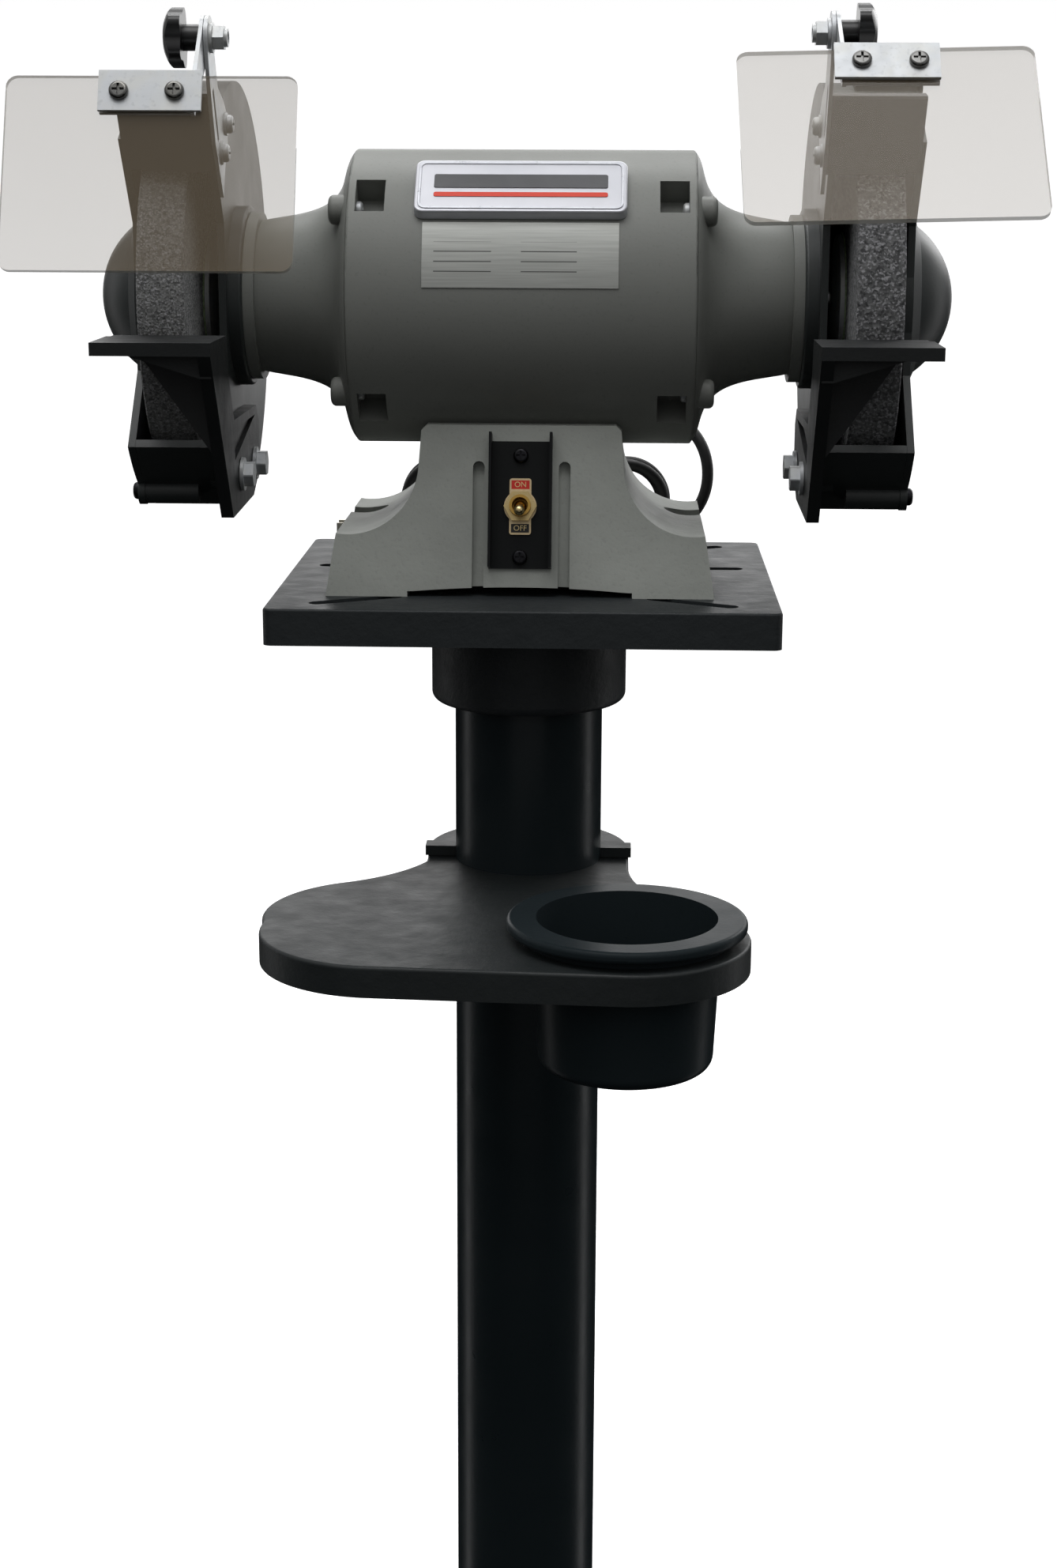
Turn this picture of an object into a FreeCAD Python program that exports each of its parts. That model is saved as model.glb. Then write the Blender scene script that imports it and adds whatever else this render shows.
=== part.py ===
import FreeCAD, Part
import math
import os

# Pedestal bench grinder: a double-ended 8 inch grinder bolted to a cast platform on a floor post,
# with a tool tray and a water pot clamped round the post.
# Millimetres. The part frame has its origin on the floor at the post's axis, +Z up, front = -Y.

V = FreeCAD.Vector
X_AXIS = V(1, 0, 0)
Y_AXIS = V(0, 1, 0)
Z_AXIS = V(0, 0, 1)

# ---- driving dimensions -------------------------------------------------------------------
# Stand
PLATFORM_TOP = 813.0          # 32 in, floor to the platform's top
PLATFORM_X = 279.4            # 11 in
PLATFORM_Y = 254.0            # 10 in
PLATFORM_T = 20.0
COLLAR_R = 57.0
COLLAR_DROP = 74.0            # collar's lower edge below the platform's top
POST_R = 43.3
POST_WALL = 4.0
POST_FOOT_Z = 14.0
FIT = 0.05                    # clearance of a close fit, on the radius
FOOT_SIZE = 380.0
FOOT_T = 16.0
FOOT_SOCKET_R = 60.0
FOOT_SOCKET_H = 130.0
FOOT_BOLT_SPACING = 304.8     # 12 in square
FOOT_BOLT_R = 6.75
SLOT_W = 9.5

# Tool tray and water pot, heights below the platform's top
TRAY_TOP = -171.0
TRAY_T = 17.0
POT_X = 58.3
POT_Y = -158.0
POT_LOBE_R = 67.0
POT_RIM_TOP = -160.0
POT_RIM_R = 65.0
POT_BODY_R = 51.0
POT_BOTTOM = -243.0
POT_WALL = 3.0
CLAMP_R = 60.0

# Grinder
GRINDER_X = -2.8              # the grinder is bolted a little left of centre in the slots
AXIS_H = 158.0                # arbor axis above the platform's top
SHELL_R = 81.5
SHELL_WALL = 5.5
SHELL_HALF = 95.0
NECK_R = 41.5
NECK_END = 155.0
WHEEL_R = 101.6               # 8 in
WHEEL_W = 25.4                # 1 in
WHEEL_S = 191.0               # wheel centre from the middle of the motor
ARBOR_R = 7.94                # 5/8 in
BEARING_R = 23.5              # 6204 ball bearing
BEARING_BORE_R = 10.0
BEARING_W = 14.0
BEARING_S = 134.0             # inner face of the bearing from the middle
STATOR_HALF = 36.0
STATOR_BORE_R = 42.0
ROTOR_R = 41.6
POCKET_ANGLES = (45.0, 135.0, 225.0, 315.0)
SCREW_CIRCLE = 69.5           # end bell screws
GUARD_SCREW_ANGLES = (30.0, 150.0, 270.0)
GUARD_SCREW_R = 31.0
BADGE_ANGLE = 47.0            # of the name plate's middle above the horizontal
BLOTTER_T = 0.8
FLANGE_T = 6.0
FLANGE_R = 36.0
WHEEL_IN = WHEEL_S - WHEEL_W / 2
WHEEL_OUT = WHEEL_S + WHEEL_W / 2
SHOULDER_S = WHEEL_IN - BLOTTER_T - FLANGE_T
SHAFT_END = 229.0

# Wheel guards
GUARD_R = 118.0
GUARD_WALL_S = 162.8          # motor-side face of the inner wall
GUARD_T = 4.0
RIM_T = 5.0
COVER_S = 209.0               # inner face of the outer cover
COVER_T = 4.0
DOME_R = 50.0
DOME_END = 240.6
HOOD_Y, HOOD_Z = -88.0, 86.0
LIP_Y, LIP_Z = -92.0, -78.0
NOTCH_Y = -54.0
BOSS_R = 7.0
COVER_SCREWS = [(-58.0, -104.0), (-28.0, 115.0), (106.0, 50.0)]
HUB_R = 50.0

# Tool rests
REST_FRONT = -160.0
REST_BACK = -105.0
REST_TOP = -15.0
REST_T = 6.8
REST_IN_S = 155.7
REST_OUT_S = 218.0
REST_BOLTS = [(-60.0, -94.0), (-8.0, -94.0)]

# Eye shields
PIVOT_Y = -112.0
PIVOT_Z = {"left": 136.5, "right": 139.5}
SHIELD_TILT = {"left": 23.0, "right": 38.0}
SHIELD_ROLL = {"left": 0.0, "right": 1.8}
SHIELD_H = 102.0
SHIELD_T = 3.0
SHIELD_IN_S = 109.0
SHIELD_OUT_S = 256.0
CLAMP_IN_S = 161.1
CLAMP_OUT_S = 209.0
CLAMP_H = 18.5
SHEET_T = 2.0
BRACKET_SCREWS = [(-68.0, 94.0), (-84.0, 79.0)]
SHIELD_TOP = (-26.9, -33.8)   # (y, z) of the shield's upper edge from the pivot, shield upright
SHIELD_SCREW_S = (170.5, 198.5)
SPARK_ANGLE = -39.8           # slide of the spark arrestors below the horizontal, towards the wheel
SPARK_SLOT = (-8.0, 6.0)      # ends of their slots along the slide, from the screw
SPARK_SLOT_R = 2.75

# Base casting, heights above the platform's top
BASE_HALF_X = 107.2
BASE_HALF_Y = 84.0
BASE_BACK_Y = 78.0
BASE_TOP_HALF_X = 55.3
BASE_TOP_HALF_Y = 60.0
BASE_TOP_Z = 92.0
BASE_FOOT_H = 33.5
BASE_BOLT = (92.0, 22.0)
FACE_LEAN = math.degrees(math.atan2(BASE_HALF_Y - BASE_TOP_HALF_Y, BASE_TOP_Z))
MOTOR_BOLTS = [(-38.0, 0.0), (38.0, 0.0)]
COVER_HALF_X = 58.0
COVER_HALF_Y = 60.0
COVER_PLATE_SCREWS = [(-54.0, -56.0), (54.0, -56.0), (-54.0, 56.0), (54.0, 56.0)]
SWITCH_Z = 50.0
SWITCH_SCREWS_Z = (22.0, 78.0)
SWITCH_PIVOT_Y = -3.0

# Supply cord, heights above the platform's top
CORD_D = 7.2
HANK_RUN = 115.0              # straight length of the hank's turns
HANK_BEND = 23.5              # radius of the turns at the middle of the cord
HANK_Y0, HANK_Y1 = 98.0, 128.0
GLAND = (10.0, 62.0)          # (x, z) of the hole in the base's back
CORD_LEAD = [
    (10, 91, 62), (11, 110, 62.5), (18, 130, 64.5), (33, 146, 69), (55, 153, 75), (79, 149, 78),
    (98, 139, 70), (108, 130, 52), (107, 125, 29), (93, 122.5, 10.5), (71, 123.7, 4.4), (48, 124, 4.4),
]
CORD_TAIL = [(-66, 86.8, 10.5), (-50, 87.1, 9.0), (-32, 88.9, 6.4), (-12, 93.0, 4.6), (10, 99.5, 4.0)]
PLUG_FACE_X = -104.0
PLUG_Y, PLUG_Z = 86.8, 10.5


# ---- helpers ------------------------------------------------------------------------------
os.makedirs("parts", exist_ok=True)
STAND = V(0, 0, PLATFORM_TOP)
BENCH = V(GRINDER_X, 0, PLATFORM_TOP)
ARBOR = V(GRINDER_X, 0, PLATFORM_TOP + AXIS_H)


def save(name, shape, place):
    """Move a sub-part from its local frame to the part frame and write it."""
    moved = shape.copy()
    moved.translate(place)
    moved.exportStep("parts/" + name + ".step")


def mirrored(shape):
    return shape.mirror(V(0, 0, 0), X_AXIS)


def save_pair(name, shape, place):
    """A right-hand sub-part and its mirror image on the left."""
    save(name + "_right", shape, place)
    save(name + "_left", mirrored(shape), place)


def box(x0, x1, y0, y1, z0, z1):
    return Part.makeBox(x1 - x0, y1 - y0, z1 - z0, V(x0, y0, z0))


def cyl_x(r, x0, x1, y=0.0, z=0.0):
    return Part.makeCylinder(r, x1 - x0, V(x0, y, z), X_AXIS)


def cyl_y(r, y0, y1, x=0.0, z=0.0):
    return Part.makeCylinder(r, y1 - y0, V(x, y0, z), Y_AXIS)


def cyl_z(r, z0, z1, x=0.0, y=0.0):
    return Part.makeCylinder(r, z1 - z0, V(x, y, z0), Z_AXIS)


def polygon(points):
    return Part.Face(Part.makePolygon(points + [points[0]]))


def prism_x(points, x0, x1):
    return polygon([V(x0, y, z) for y, z in points]).extrude(V(x1 - x0, 0, 0))


def prism_y(points, y0, y1):
    return polygon([V(x, y0, z) for x, z in points]).extrude(V(0, y1 - y0, 0))


def turned_x(points):
    """Solid of revolution about the X axis from (x, radius) points."""
    return polygon([V(x, 0, r) for x, r in points]).revolve(V(0, 0, 0), X_AXIS, 360)


def hex_x(across, x0, x1, y=0.0, z=0.0):
    """Hexagonal prism along X."""
    corner = across / math.sqrt(3)
    points = []
    for i in range(6):
        angle = math.radians(60 * i)
        points.append((y + corner * math.cos(angle), z + corner * math.sin(angle)))
    return prism_x(points, x0, x1)


def aligned(shape, direction, place):
    """Turn a piece made along +X at the origin to a direction, and put it in place."""
    out = shape.copy()
    out.Placement = FreeCAD.Placement(place, FreeCAD.Rotation(X_AXIS, direction))
    return out


def fused(shapes):
    return shapes[0].multiFuse(shapes[1:]).removeSplitter() if len(shapes) > 1 else shapes[0]


def group(shapes):
    return Part.makeCompound(shapes)


def rounded(shape, edges, radius):
    return shape.makeFillet(radius, edges)


def edges_at(shape, axis, value, tol=0.01):
    """Edges that lie wholly in the plane axis = value."""
    low, high = {"x": ("XMin", "XMax"), "y": ("YMin", "YMax"), "z": ("ZMin", "ZMax")}[axis]
    found = []
    for edge in shape.Edges:
        box_ = edge.BoundBox
        if abs(getattr(box_, low) - value) < tol and abs(getattr(box_, high) - value) < tol:
            found.append(edge)
    return found


def upright_edges(shape):
    return [e for e in shape.Edges if e.BoundBox.ZLength > 1 and e.BoundBox.XLength < 0.01
            and e.BoundBox.YLength < 0.01]


def pan_screw(head_r, head_h, shank_r, length, dome=0.6):
    """Cross-recess pan head screw along +X, head's seat at x = 0, head towards -X."""
    head = cyl_x(head_r, -head_h, 0)
    head = rounded(head, edges_at(head, "x", -head_h), head_h * dome)
    arm = head_r * 0.62
    slot = head_r * 0.13
    depth = head_h * 0.55
    cross = box(-head_h - 1, -head_h + depth, -arm, arm, -slot, slot)
    cross = cross.fuse(box(-head_h - 1, -head_h + depth, -slot, slot, -arm, arm))
    return head.cut(cross).fuse(cyl_x(shank_r, -0.5, length)).removeSplitter()


def hex_bolt(across, head_h, shank_r, length, washer_r, washer_t):
    """Hex bolt with a washer along +X, seat of the washer at x = 0."""
    head = hex_x(across, -washer_t - head_h, -washer_t)
    head = head.common(cyl_x(across * 0.56, -washer_t - head_h, -washer_t))
    bolt = head.fuse(cyl_x(washer_r, -washer_t, 0)).fuse(cyl_x(shank_r, -washer_t, length))
    return bolt.removeSplitter()


# ---- stand --------------------------------------------------------------------------------
def stand_base():
    half = FOOT_SIZE / 2
    plate = box(-half, half, -half, half, 0, FOOT_T)
    plate = rounded(plate, upright_edges(plate), 40)
    plate = rounded(plate, edges_at(plate, "z", FOOT_T), 5)
    socket = Part.makeCone(FOOT_SOCKET_R + 14, FOOT_SOCKET_R, FOOT_SOCKET_H - FOOT_T, V(0, 0, FOOT_T))
    rib_reach = half - 30
    pieces = [plate, socket]
    for i in range(4):
        rib = prism_y([(30, FOOT_T - 1), (rib_reach, FOOT_T - 1), (rib_reach, FOOT_T + 6),
                       (FOOT_SOCKET_R, FOOT_SOCKET_H - 14), (30, FOOT_SOCKET_H - 14)], -7, 7)
        rib.rotate(V(0, 0, 0), Z_AXIS, 90 * i)
        pieces.append(rib)
    foot = fused(pieces).cut(cyl_z(POST_R + FIT, POST_FOOT_Z, FOOT_SOCKET_H + 1))
    spot = FOOT_BOLT_SPACING / 2
    for x in (-spot, spot):
        for y in (-spot, spot):
            foot = foot.cut(cyl_z(FOOT_BOLT_R, -1, FOOT_T + 1, x, y))
    for angle in (45, 225):
        foot = foot.cut(set_screw(angle, FOOT_SOCKET_H - 32, FOOT_SOCKET_R + 12, 4.1, 30))
    return foot


def set_screw(angle, z, reach, r, length):
    """Radial cylinder whose outer end is at `reach` from the post's axis."""
    a = math.radians(angle)
    out = V(math.cos(a), math.sin(a), 0)
    return Part.makeCylinder(r, length, out * (reach - length) + V(0, 0, z), out)


def post():
    top = PLATFORM_TOP - PLATFORM_T - 4
    tube = cyl_z(POST_R, POST_FOOT_Z, top)
    return tube.cut(cyl_z(POST_R - POST_WALL, POST_FOOT_Z - 1, top + 1))


def slot(x0, y0, x1, y1):
    """Through slot of the platform, between two end centres."""
    run = math.hypot(x1 - x0, y1 - y0)
    bar = box(0, run, -SLOT_W / 2, SLOT_W / 2, -PLATFORM_T - 1, 1)
    ends = [cyl_z(SLOT_W / 2, -PLATFORM_T - 1, 1, x, 0) for x in (0, run)]
    cut = bar.multiFuse(ends)
    cut.rotate(V(0, 0, 0), Z_AXIS, math.degrees(math.atan2(y1 - y0, x1 - x0)))
    cut.translate(V(x0, y0, 0))
    return cut


def platform():
    hx, hy = PLATFORM_X / 2, PLATFORM_Y / 2
    plate = box(-hx, hx, -hy, hy, -PLATFORM_T, 0)
    plate = rounded(plate, upright_edges(plate), 5)
    plate = rounded(plate, edges_at(plate, "z", 0.0), 1.2)
    collar = cyl_z(COLLAR_R, -COLLAR_DROP, -PLATFORM_T + 1)
    collar = rounded(collar, edges_at(collar, "z", -COLLAR_DROP), 5)
    body = plate.fuse(collar).removeSplitter()
    body = body.cut(cyl_z(POST_R + FIT, -COLLAR_DROP - 1, -PLATFORM_T - 3.9))
    for sx in (-1, 1):
        body = body.cut(slot(sx * 80, BASE_BOLT[1], sx * 120.5, BASE_BOLT[1]))
        for sy in (-1, 1):
            body = body.cut(slot(sx * 72, sy * 84, sx * 112, sy * 106))
    for angle in (45, 135):
        body = body.cut(set_screw(angle, -50, COLLAR_R + 2, 4.1, 30))
    return body


def post_set_screws():
    """Four socket set screws: two in the platform's collar, two in the foot's socket."""
    screws = []
    spots = [(45, PLATFORM_TOP - 50, COLLAR_R - 2), (135, PLATFORM_TOP - 50, COLLAR_R - 2),
             (45, FOOT_SOCKET_H - 32, FOOT_SOCKET_R - 1), (225, FOOT_SOCKET_H - 32, FOOT_SOCKET_R - 1)]
    for angle, z, reach in spots:
        length = reach - POST_R - 0.1
        screw = set_screw(angle, z, reach, 4.0, length)
        screws.append(screw.cut(set_screw(angle, z, reach + 0.1, 1.9, 4)))
    return group(screws)


def arc(a, b, c):
    return Part.Arc(V(*a, 0), V(*b, 0), V(*c, 0)).toShape()


def line(a, b):
    return Part.LineSegment(V(*a, 0), V(*b, 0)).toShape()


def tool_tray():
    front = POT_Y - POT_LOBE_R
    joint = (86.0, -97.1)
    outline = Part.Wire([
        line((POT_X, front), (-75, -217)),
        arc((-75, -217), (-122, -196), (-141, -140)),
        arc((-141, -140), (-131, -84), (-107, -62)),
        arc((-107, -62), (-79, -42), (-CLAMP_R, -13)),
        line((-CLAMP_R, -13), (-CLAMP_R, -3)),
        line((-CLAMP_R, -3), (CLAMP_R, -3)),
        line((CLAMP_R, -3), (CLAMP_R, -25)),
        arc((CLAMP_R, -25), (67, -62), joint),
        arc(joint, (POT_X + POT_LOBE_R, POT_Y), (POT_X, front)),
    ])
    plate = Part.Face(outline).extrude(V(0, 0, TRAY_T))
    plate.translate(V(0, 0, TRAY_TOP - TRAY_T))
    hub = cyl_z(CLAMP_R, TRAY_TOP - TRAY_T - 12, TRAY_TOP).common(box(-70, 70, -70, -3, -250, 0))
    tray = plate.fuse(hub).removeSplitter()
    tray = rounded(tray, edges_at(tray, "z", TRAY_TOP), 1.8)
    tray = tray.cut(cyl_z(POST_R + 0.06, -250, 0))
    tray = tray.cut(cyl_z(POT_BODY_R + 0.6, -250, 0, POT_X, POT_Y))
    for x in (-52, 52):
        tray = tray.cut(cyl_y(3.3, -40, 0, x, TRAY_TOP - 11))
    return tray


def tray_clamp():
    """Rear half ring that clamps the tray to the post, with a square lug on each side."""
    top = TRAY_TOP + 6
    bottom = TRAY_TOP - TRAY_T - 12
    ring = cyl_z(CLAMP_R, bottom, top)
    ring = rounded(ring, edges_at(ring, "z", top), 2.5)
    half = ring.common(box(-70, 70, -1.5, 70, bottom - 1, top + 1))
    lugs = box(-CLAMP_R - 1.5, CLAMP_R + 1.5, -2.4, 10, TRAY_TOP + 0.1, top)
    clamp = half.fuse(lugs).removeSplitter().cut(cyl_z(POST_R + 0.06, -250, 0))
    for x in (-52, 52):
        clamp = clamp.cut(cyl_y(3.3, -5, 70, x, TRAY_TOP - 11))
        clamp = clamp.cut(box(x - 7, x + 7, 14, 70, TRAY_TOP - 18, TRAY_TOP - 4))
    return clamp


def tray_clamp_bolts():
    bolts = []
    for x in (-52, 52):
        bolt = hex_bolt(10, 4, 3, 44, 5.6, 1.2)
        bolts.append(aligned(bolt, -Y_AXIS, V(x, 14.05, TRAY_TOP - 11)))
    return group(bolts)


def water_pot():
    """Cast pot with a broad rolled rim, which drops into the tray's hole."""
    floor_r = POT_BODY_R - 3.5
    outer = Part.makeCone(floor_r, POT_BODY_R, TRAY_TOP - POT_BOTTOM, V(0, 0, POT_BOTTOM))
    outer = rounded(outer, edges_at(outer, "z", POT_BOTTOM), 7)
    neck = cyl_z(POT_BODY_R, TRAY_TOP - 1, POT_RIM_TOP - 3)
    shoulder = cyl_z(POT_BODY_R + 6, TRAY_TOP + 0.1, POT_RIM_TOP - 3)
    rim = cyl_z(POT_RIM_R, POT_RIM_TOP - 6.5, POT_RIM_TOP)
    rim = rounded(rim, edges_at(rim, "z", POT_RIM_TOP), 2.6)
    rim = rounded(rim, edges_at(rim, "z", POT_RIM_TOP - 6.5), 2.6)
    body = fused([outer, neck, shoulder, rim])
    inside = Part.makeCone(floor_r - POT_WALL, POT_BODY_R - 1.8, POT_RIM_TOP - POT_BOTTOM + 1,
                           V(0, 0, POT_BOTTOM + POT_WALL))
    inside = rounded(inside, edges_at(inside, "z", POT_BOTTOM + POT_WALL), 5)
    pot = body.cut(inside)
    pot.translate(V(POT_X, POT_Y, 0))
    return pot


# ---- base casting and switch ----------------------------------------------------------------
def on_front_face(shape):
    """Place a piece made on the upright plane y = 0 (front towards -Y) on the leaning front face."""
    out = shape.copy()
    out.rotate(V(0, 0, 0), X_AXIS, -FACE_LEAN)
    out.translate(V(0, -BASE_HALF_Y, 0))
    return out


def base_profile():
    """Front outline of the casting: feet, concave flanks and the saddle block."""
    def edge(points, sign):
        return [V(sign * x, 0, z) for x, z in points]
    flank = [(BASE_HALF_X - 5.2, BASE_FOOT_H), (68, 44.5), (56.5, 72)]
    wires = []
    for sign in (1, -1):
        a, b, c = edge(flank, sign)
        wires.append(Part.Arc(a, b, c).toShape())
    top = [V(56.5, 0, 72), V(BASE_TOP_HALF_X, 0, BASE_TOP_Z - 3), V(BASE_TOP_HALF_X - 3, 0, BASE_TOP_Z)]
    top += [V(-p.x, 0, p.z) for p in reversed(top)]
    low = [V(BASE_HALF_X - 5.2, 0, BASE_FOOT_H), V(BASE_HALF_X, 0, 0), V(-BASE_HALF_X, 0, 0),
           V(-BASE_HALF_X + 5.2, 0, BASE_FOOT_H)]
    edges = wires + Part.makePolygon(top).Edges + Part.makePolygon(low).Edges
    return Part.Face(Part.Wire(Part.__sortEdges__(edges)))


def motor_base():
    block = base_profile().extrude(V(0, 2 * BASE_HALF_Y, 0))
    block.translate(V(0, -BASE_HALF_Y, 0))
    side = prism_x([(-BASE_HALF_Y, 0), (BASE_BACK_Y, 0), (BASE_TOP_HALF_Y, BASE_TOP_Z),
                    (-BASE_TOP_HALF_Y, BASE_TOP_Z)], -120, 120)
    base = block.common(side)
    base = base.cut(cyl_x(SHELL_R + 0.1, -120, 120, 0, AXIS_H))
    base = base.cut(box(-50, 50, -52, 52, -1, 66))
    base = base.cut(box(-62, 62, -100, 100, -1, 3))
    arch = Part.makeCylinder(700, 240, V(0, -120, -694.5), Y_AXIS).common(box(-62, 62, -120, 120, 0, 10))
    base = base.cut(arch)
    recess_x, recess_y = COVER_HALF_X + 0.5, COVER_HALF_Y + 0.5
    base = base.cut(box(-recess_x, recess_x, -recess_y, recess_y, -1, 5))
    for sx in (-1, 1):
        x, y = sx * BASE_BOLT[0], BASE_BOLT[1]
        base = base.cut(cyl_z(11, 10, 80, x, y))
        base = base.cut(box(min(x, sx * 120), max(x, sx * 120), y - 11, y + 11, 10, 80))
        base = base.cut(cyl_z(4.4, -1, 20, x, y))
    for x in (-23.2, 24.2):
        groove = box(x - 3.2, x + 3.2, -5, 5, -10, 72).fuse(cyl_y(3.2, -5, 5, x, 72))
        base = base.cut(on_front_face(groove))
    window = box(-8.5, 8.5, -2, 40, 33, 68)
    base = base.cut(on_front_face(window))
    for z in SWITCH_SCREWS_Z:
        base = base.cut(on_front_face(cyl_y(2.05, -2, 13, 0, z)))
    base = base.cut(cyl_y(6.2, 40, 90, GLAND[0] - GRINDER_X, GLAND[1]))
    for x, y in MOTOR_BOLTS:
        base = base.cut(cyl_z(4.2, 60, 90, x, y))
    for x, y in COVER_PLATE_SCREWS:
        base = base.cut(cyl_z(1.9, 3, 16, x, y))
    return base


def base_bolts():
    """Two bolts hold the base to the platform, two hold the motor in the saddle from below."""
    bolts = []
    for sx in (-1, 1):
        bolt = hex_bolt(13, 5.3, 4, 36, 8.4, 1.6)
        nut = hex_x(13, 31.2, 37.7).cut(cyl_x(4.05, 30, 40))
        washer = cyl_x(8.4, 30.1, 31.1).cut(cyl_x(4.05, 30, 40))
        place = V(sx * BASE_BOLT[0], BASE_BOLT[1], 10.1)
        for piece in (bolt, nut, washer):
            bolts.append(aligned(piece, -Z_AXIS, place))
    for x, y in MOTOR_BOLTS:
        bolts.append(aligned(hex_bolt(13, 5.3, 4, 15.5, 8.4, 1.6), Z_AXIS, V(x, y, 65.9)))
    return group(bolts)


def bottom_cover():
    plate = box(-COVER_HALF_X, COVER_HALF_X, -COVER_HALF_Y, COVER_HALF_Y, 3.2, 4.8)
    plate = rounded(plate, upright_edges(plate), 2.5)
    for x, y in COVER_PLATE_SCREWS:
        plate = plate.cut(cyl_z(1.9, 0, 10, x, y))
    return plate


def switch_plate():
    """Black sheet channel on the front face, flanges towards the user."""
    t = 1.5
    half = 17.4
    low, high = 16, 86
    web = box(-half, half, -t - 0.1, -0.1, low, high)
    flanges = [box(x0, x0 + t, -11, -0.1, low, high + 4) for x0 in (-half, half - t)]
    plate = fused([web] + flanges)
    plate = plate.cut(cyl_y(6.2, -10, 5, 0, SWITCH_Z))
    for z in SWITCH_SCREWS_Z:
        plate = plate.cut(cyl_y(2.1, -10, 5, 0, z))
    return on_front_face(plate)


def base_screws():
    """M4 pan screws: two in the switch plate and four in the bottom cover."""
    screws = []
    for z in SWITCH_SCREWS_Z:
        screw = aligned(pan_screw(4.1, 2.6, 1.9, 12), Y_AXIS, V(0, -1.7, z))
        screws.append(on_front_face(screw))
    for x, y in COVER_PLATE_SCREWS:
        screws.append(aligned(pan_screw(3.4, 2.2, 1.8, 9), Z_AXIS, V(x, y, 3.1)))
    return group(screws)


def switch_body():
    """Toggle switch: moulded body behind the face, threaded bushing through the plate, terminals."""
    body = box(-8, 8, 3, 24, 34, 66)
    body = rounded(body, body.Edges, 1)
    bushing = cyl_y(5.9, -9.5, 4, 0, SWITCH_Z).cut(cyl_y(4.4, -10, 1, 0, SWITCH_Z))
    tabs = [box(x - 0.4, x + 0.4, 23, 32, 47, 53) for x in (-4, 4)]
    return on_front_face(fused([body, bushing] + tabs))


def switch_legend():
    """Brass legend plate with an upper and a lower tab."""
    plate = box(-6, 6, -2.5, -1.7, 34.5, 65.5)
    plate = rounded(plate, [e for e in plate.Edges if abs(e.BoundBox.YLength - 0.8) < 0.01], 1.5)
    plate = plate.fuse(cyl_y(9, -2.5, -1.7, 0, SWITCH_Z)).removeSplitter()
    return on_front_face(plate.cut(cyl_y(5.95, -3, -1, 0, SWITCH_Z)))


def switch_nut():
    nut = aligned(hex_x(15.9, 0, 3), -Y_AXIS, V(0, -2.6, SWITCH_Z))
    return on_front_face(nut.cut(cyl_y(5.95, -10, 0, 0, SWITCH_Z)))


def switch_lever():
    """Bat lever; drawn in the OFF position, tipped 14 degrees down."""
    bat = Part.makeCone(1.7, 2.9, 16, V(0, 0, 0), -Y_AXIS)
    tip = Part.makeSphere(2.9, V(0, -16, 0))
    ball = Part.makeSphere(3.3, V(0, 0, 0))
    lever = fused([bat, tip, ball])
    lever.rotate(V(0, 0, 0), X_AXIS, 14)
    lever.translate(V(0, SWITCH_PIVOT_Y, SWITCH_Z))
    return on_front_face(lever)


def capacitor():
    can = cyl_x(16, -36, 28, 12, 30)
    can = rounded(can, edges_at(can, "x", -36), 2)
    posts = [box(28, 36, 12 + dy - 3, 12 + dy + 3, 29.6, 30.4) for dy in (-7, 7)]
    return fused([can] + posts)


# ---- motor --------------------------------------------------------------------------------
def around_x(shape, angle):
    out = shape.copy()
    out.rotate(V(0, 0, 0), X_AXIS, angle)
    return out


def motor_shell():
    shell = cyl_x(SHELL_R, -SHELL_HALF, SHELL_HALF)
    shell = rounded(shell, edges_at(shell, "x", -SHELL_HALF) + edges_at(shell, "x", SHELL_HALF), 1.5)
    shell = shell.cut(cyl_x(SHELL_R - SHELL_WALL, -100, 100))
    bore = cyl_x(SHELL_R - 1, -100, 100)
    for side in (-1, 1):
        for angle in POCKET_ANGLES:
            lug = box(70, SHELL_HALF, -15, 15, 61, 80).common(bore)
            pocket = box(74.5, 90.5, -11.5, 11.5, 64.4, 90)
            hole = cyl_x(2.7, 80, 100, 0, SCREW_CIRCLE)
            pieces = [around_x(p if side > 0 else mirrored(p), angle) for p in (lug, pocket, hole)]
            shell = shell.fuse(pieces[0]).cut(pieces[1]).cut(pieces[2])
    for x, y in MOTOR_BOLTS:
        shell = shell.cut(cyl_z(4.1, -90, -70, x, y))
    return shell.removeSplitter()


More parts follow.
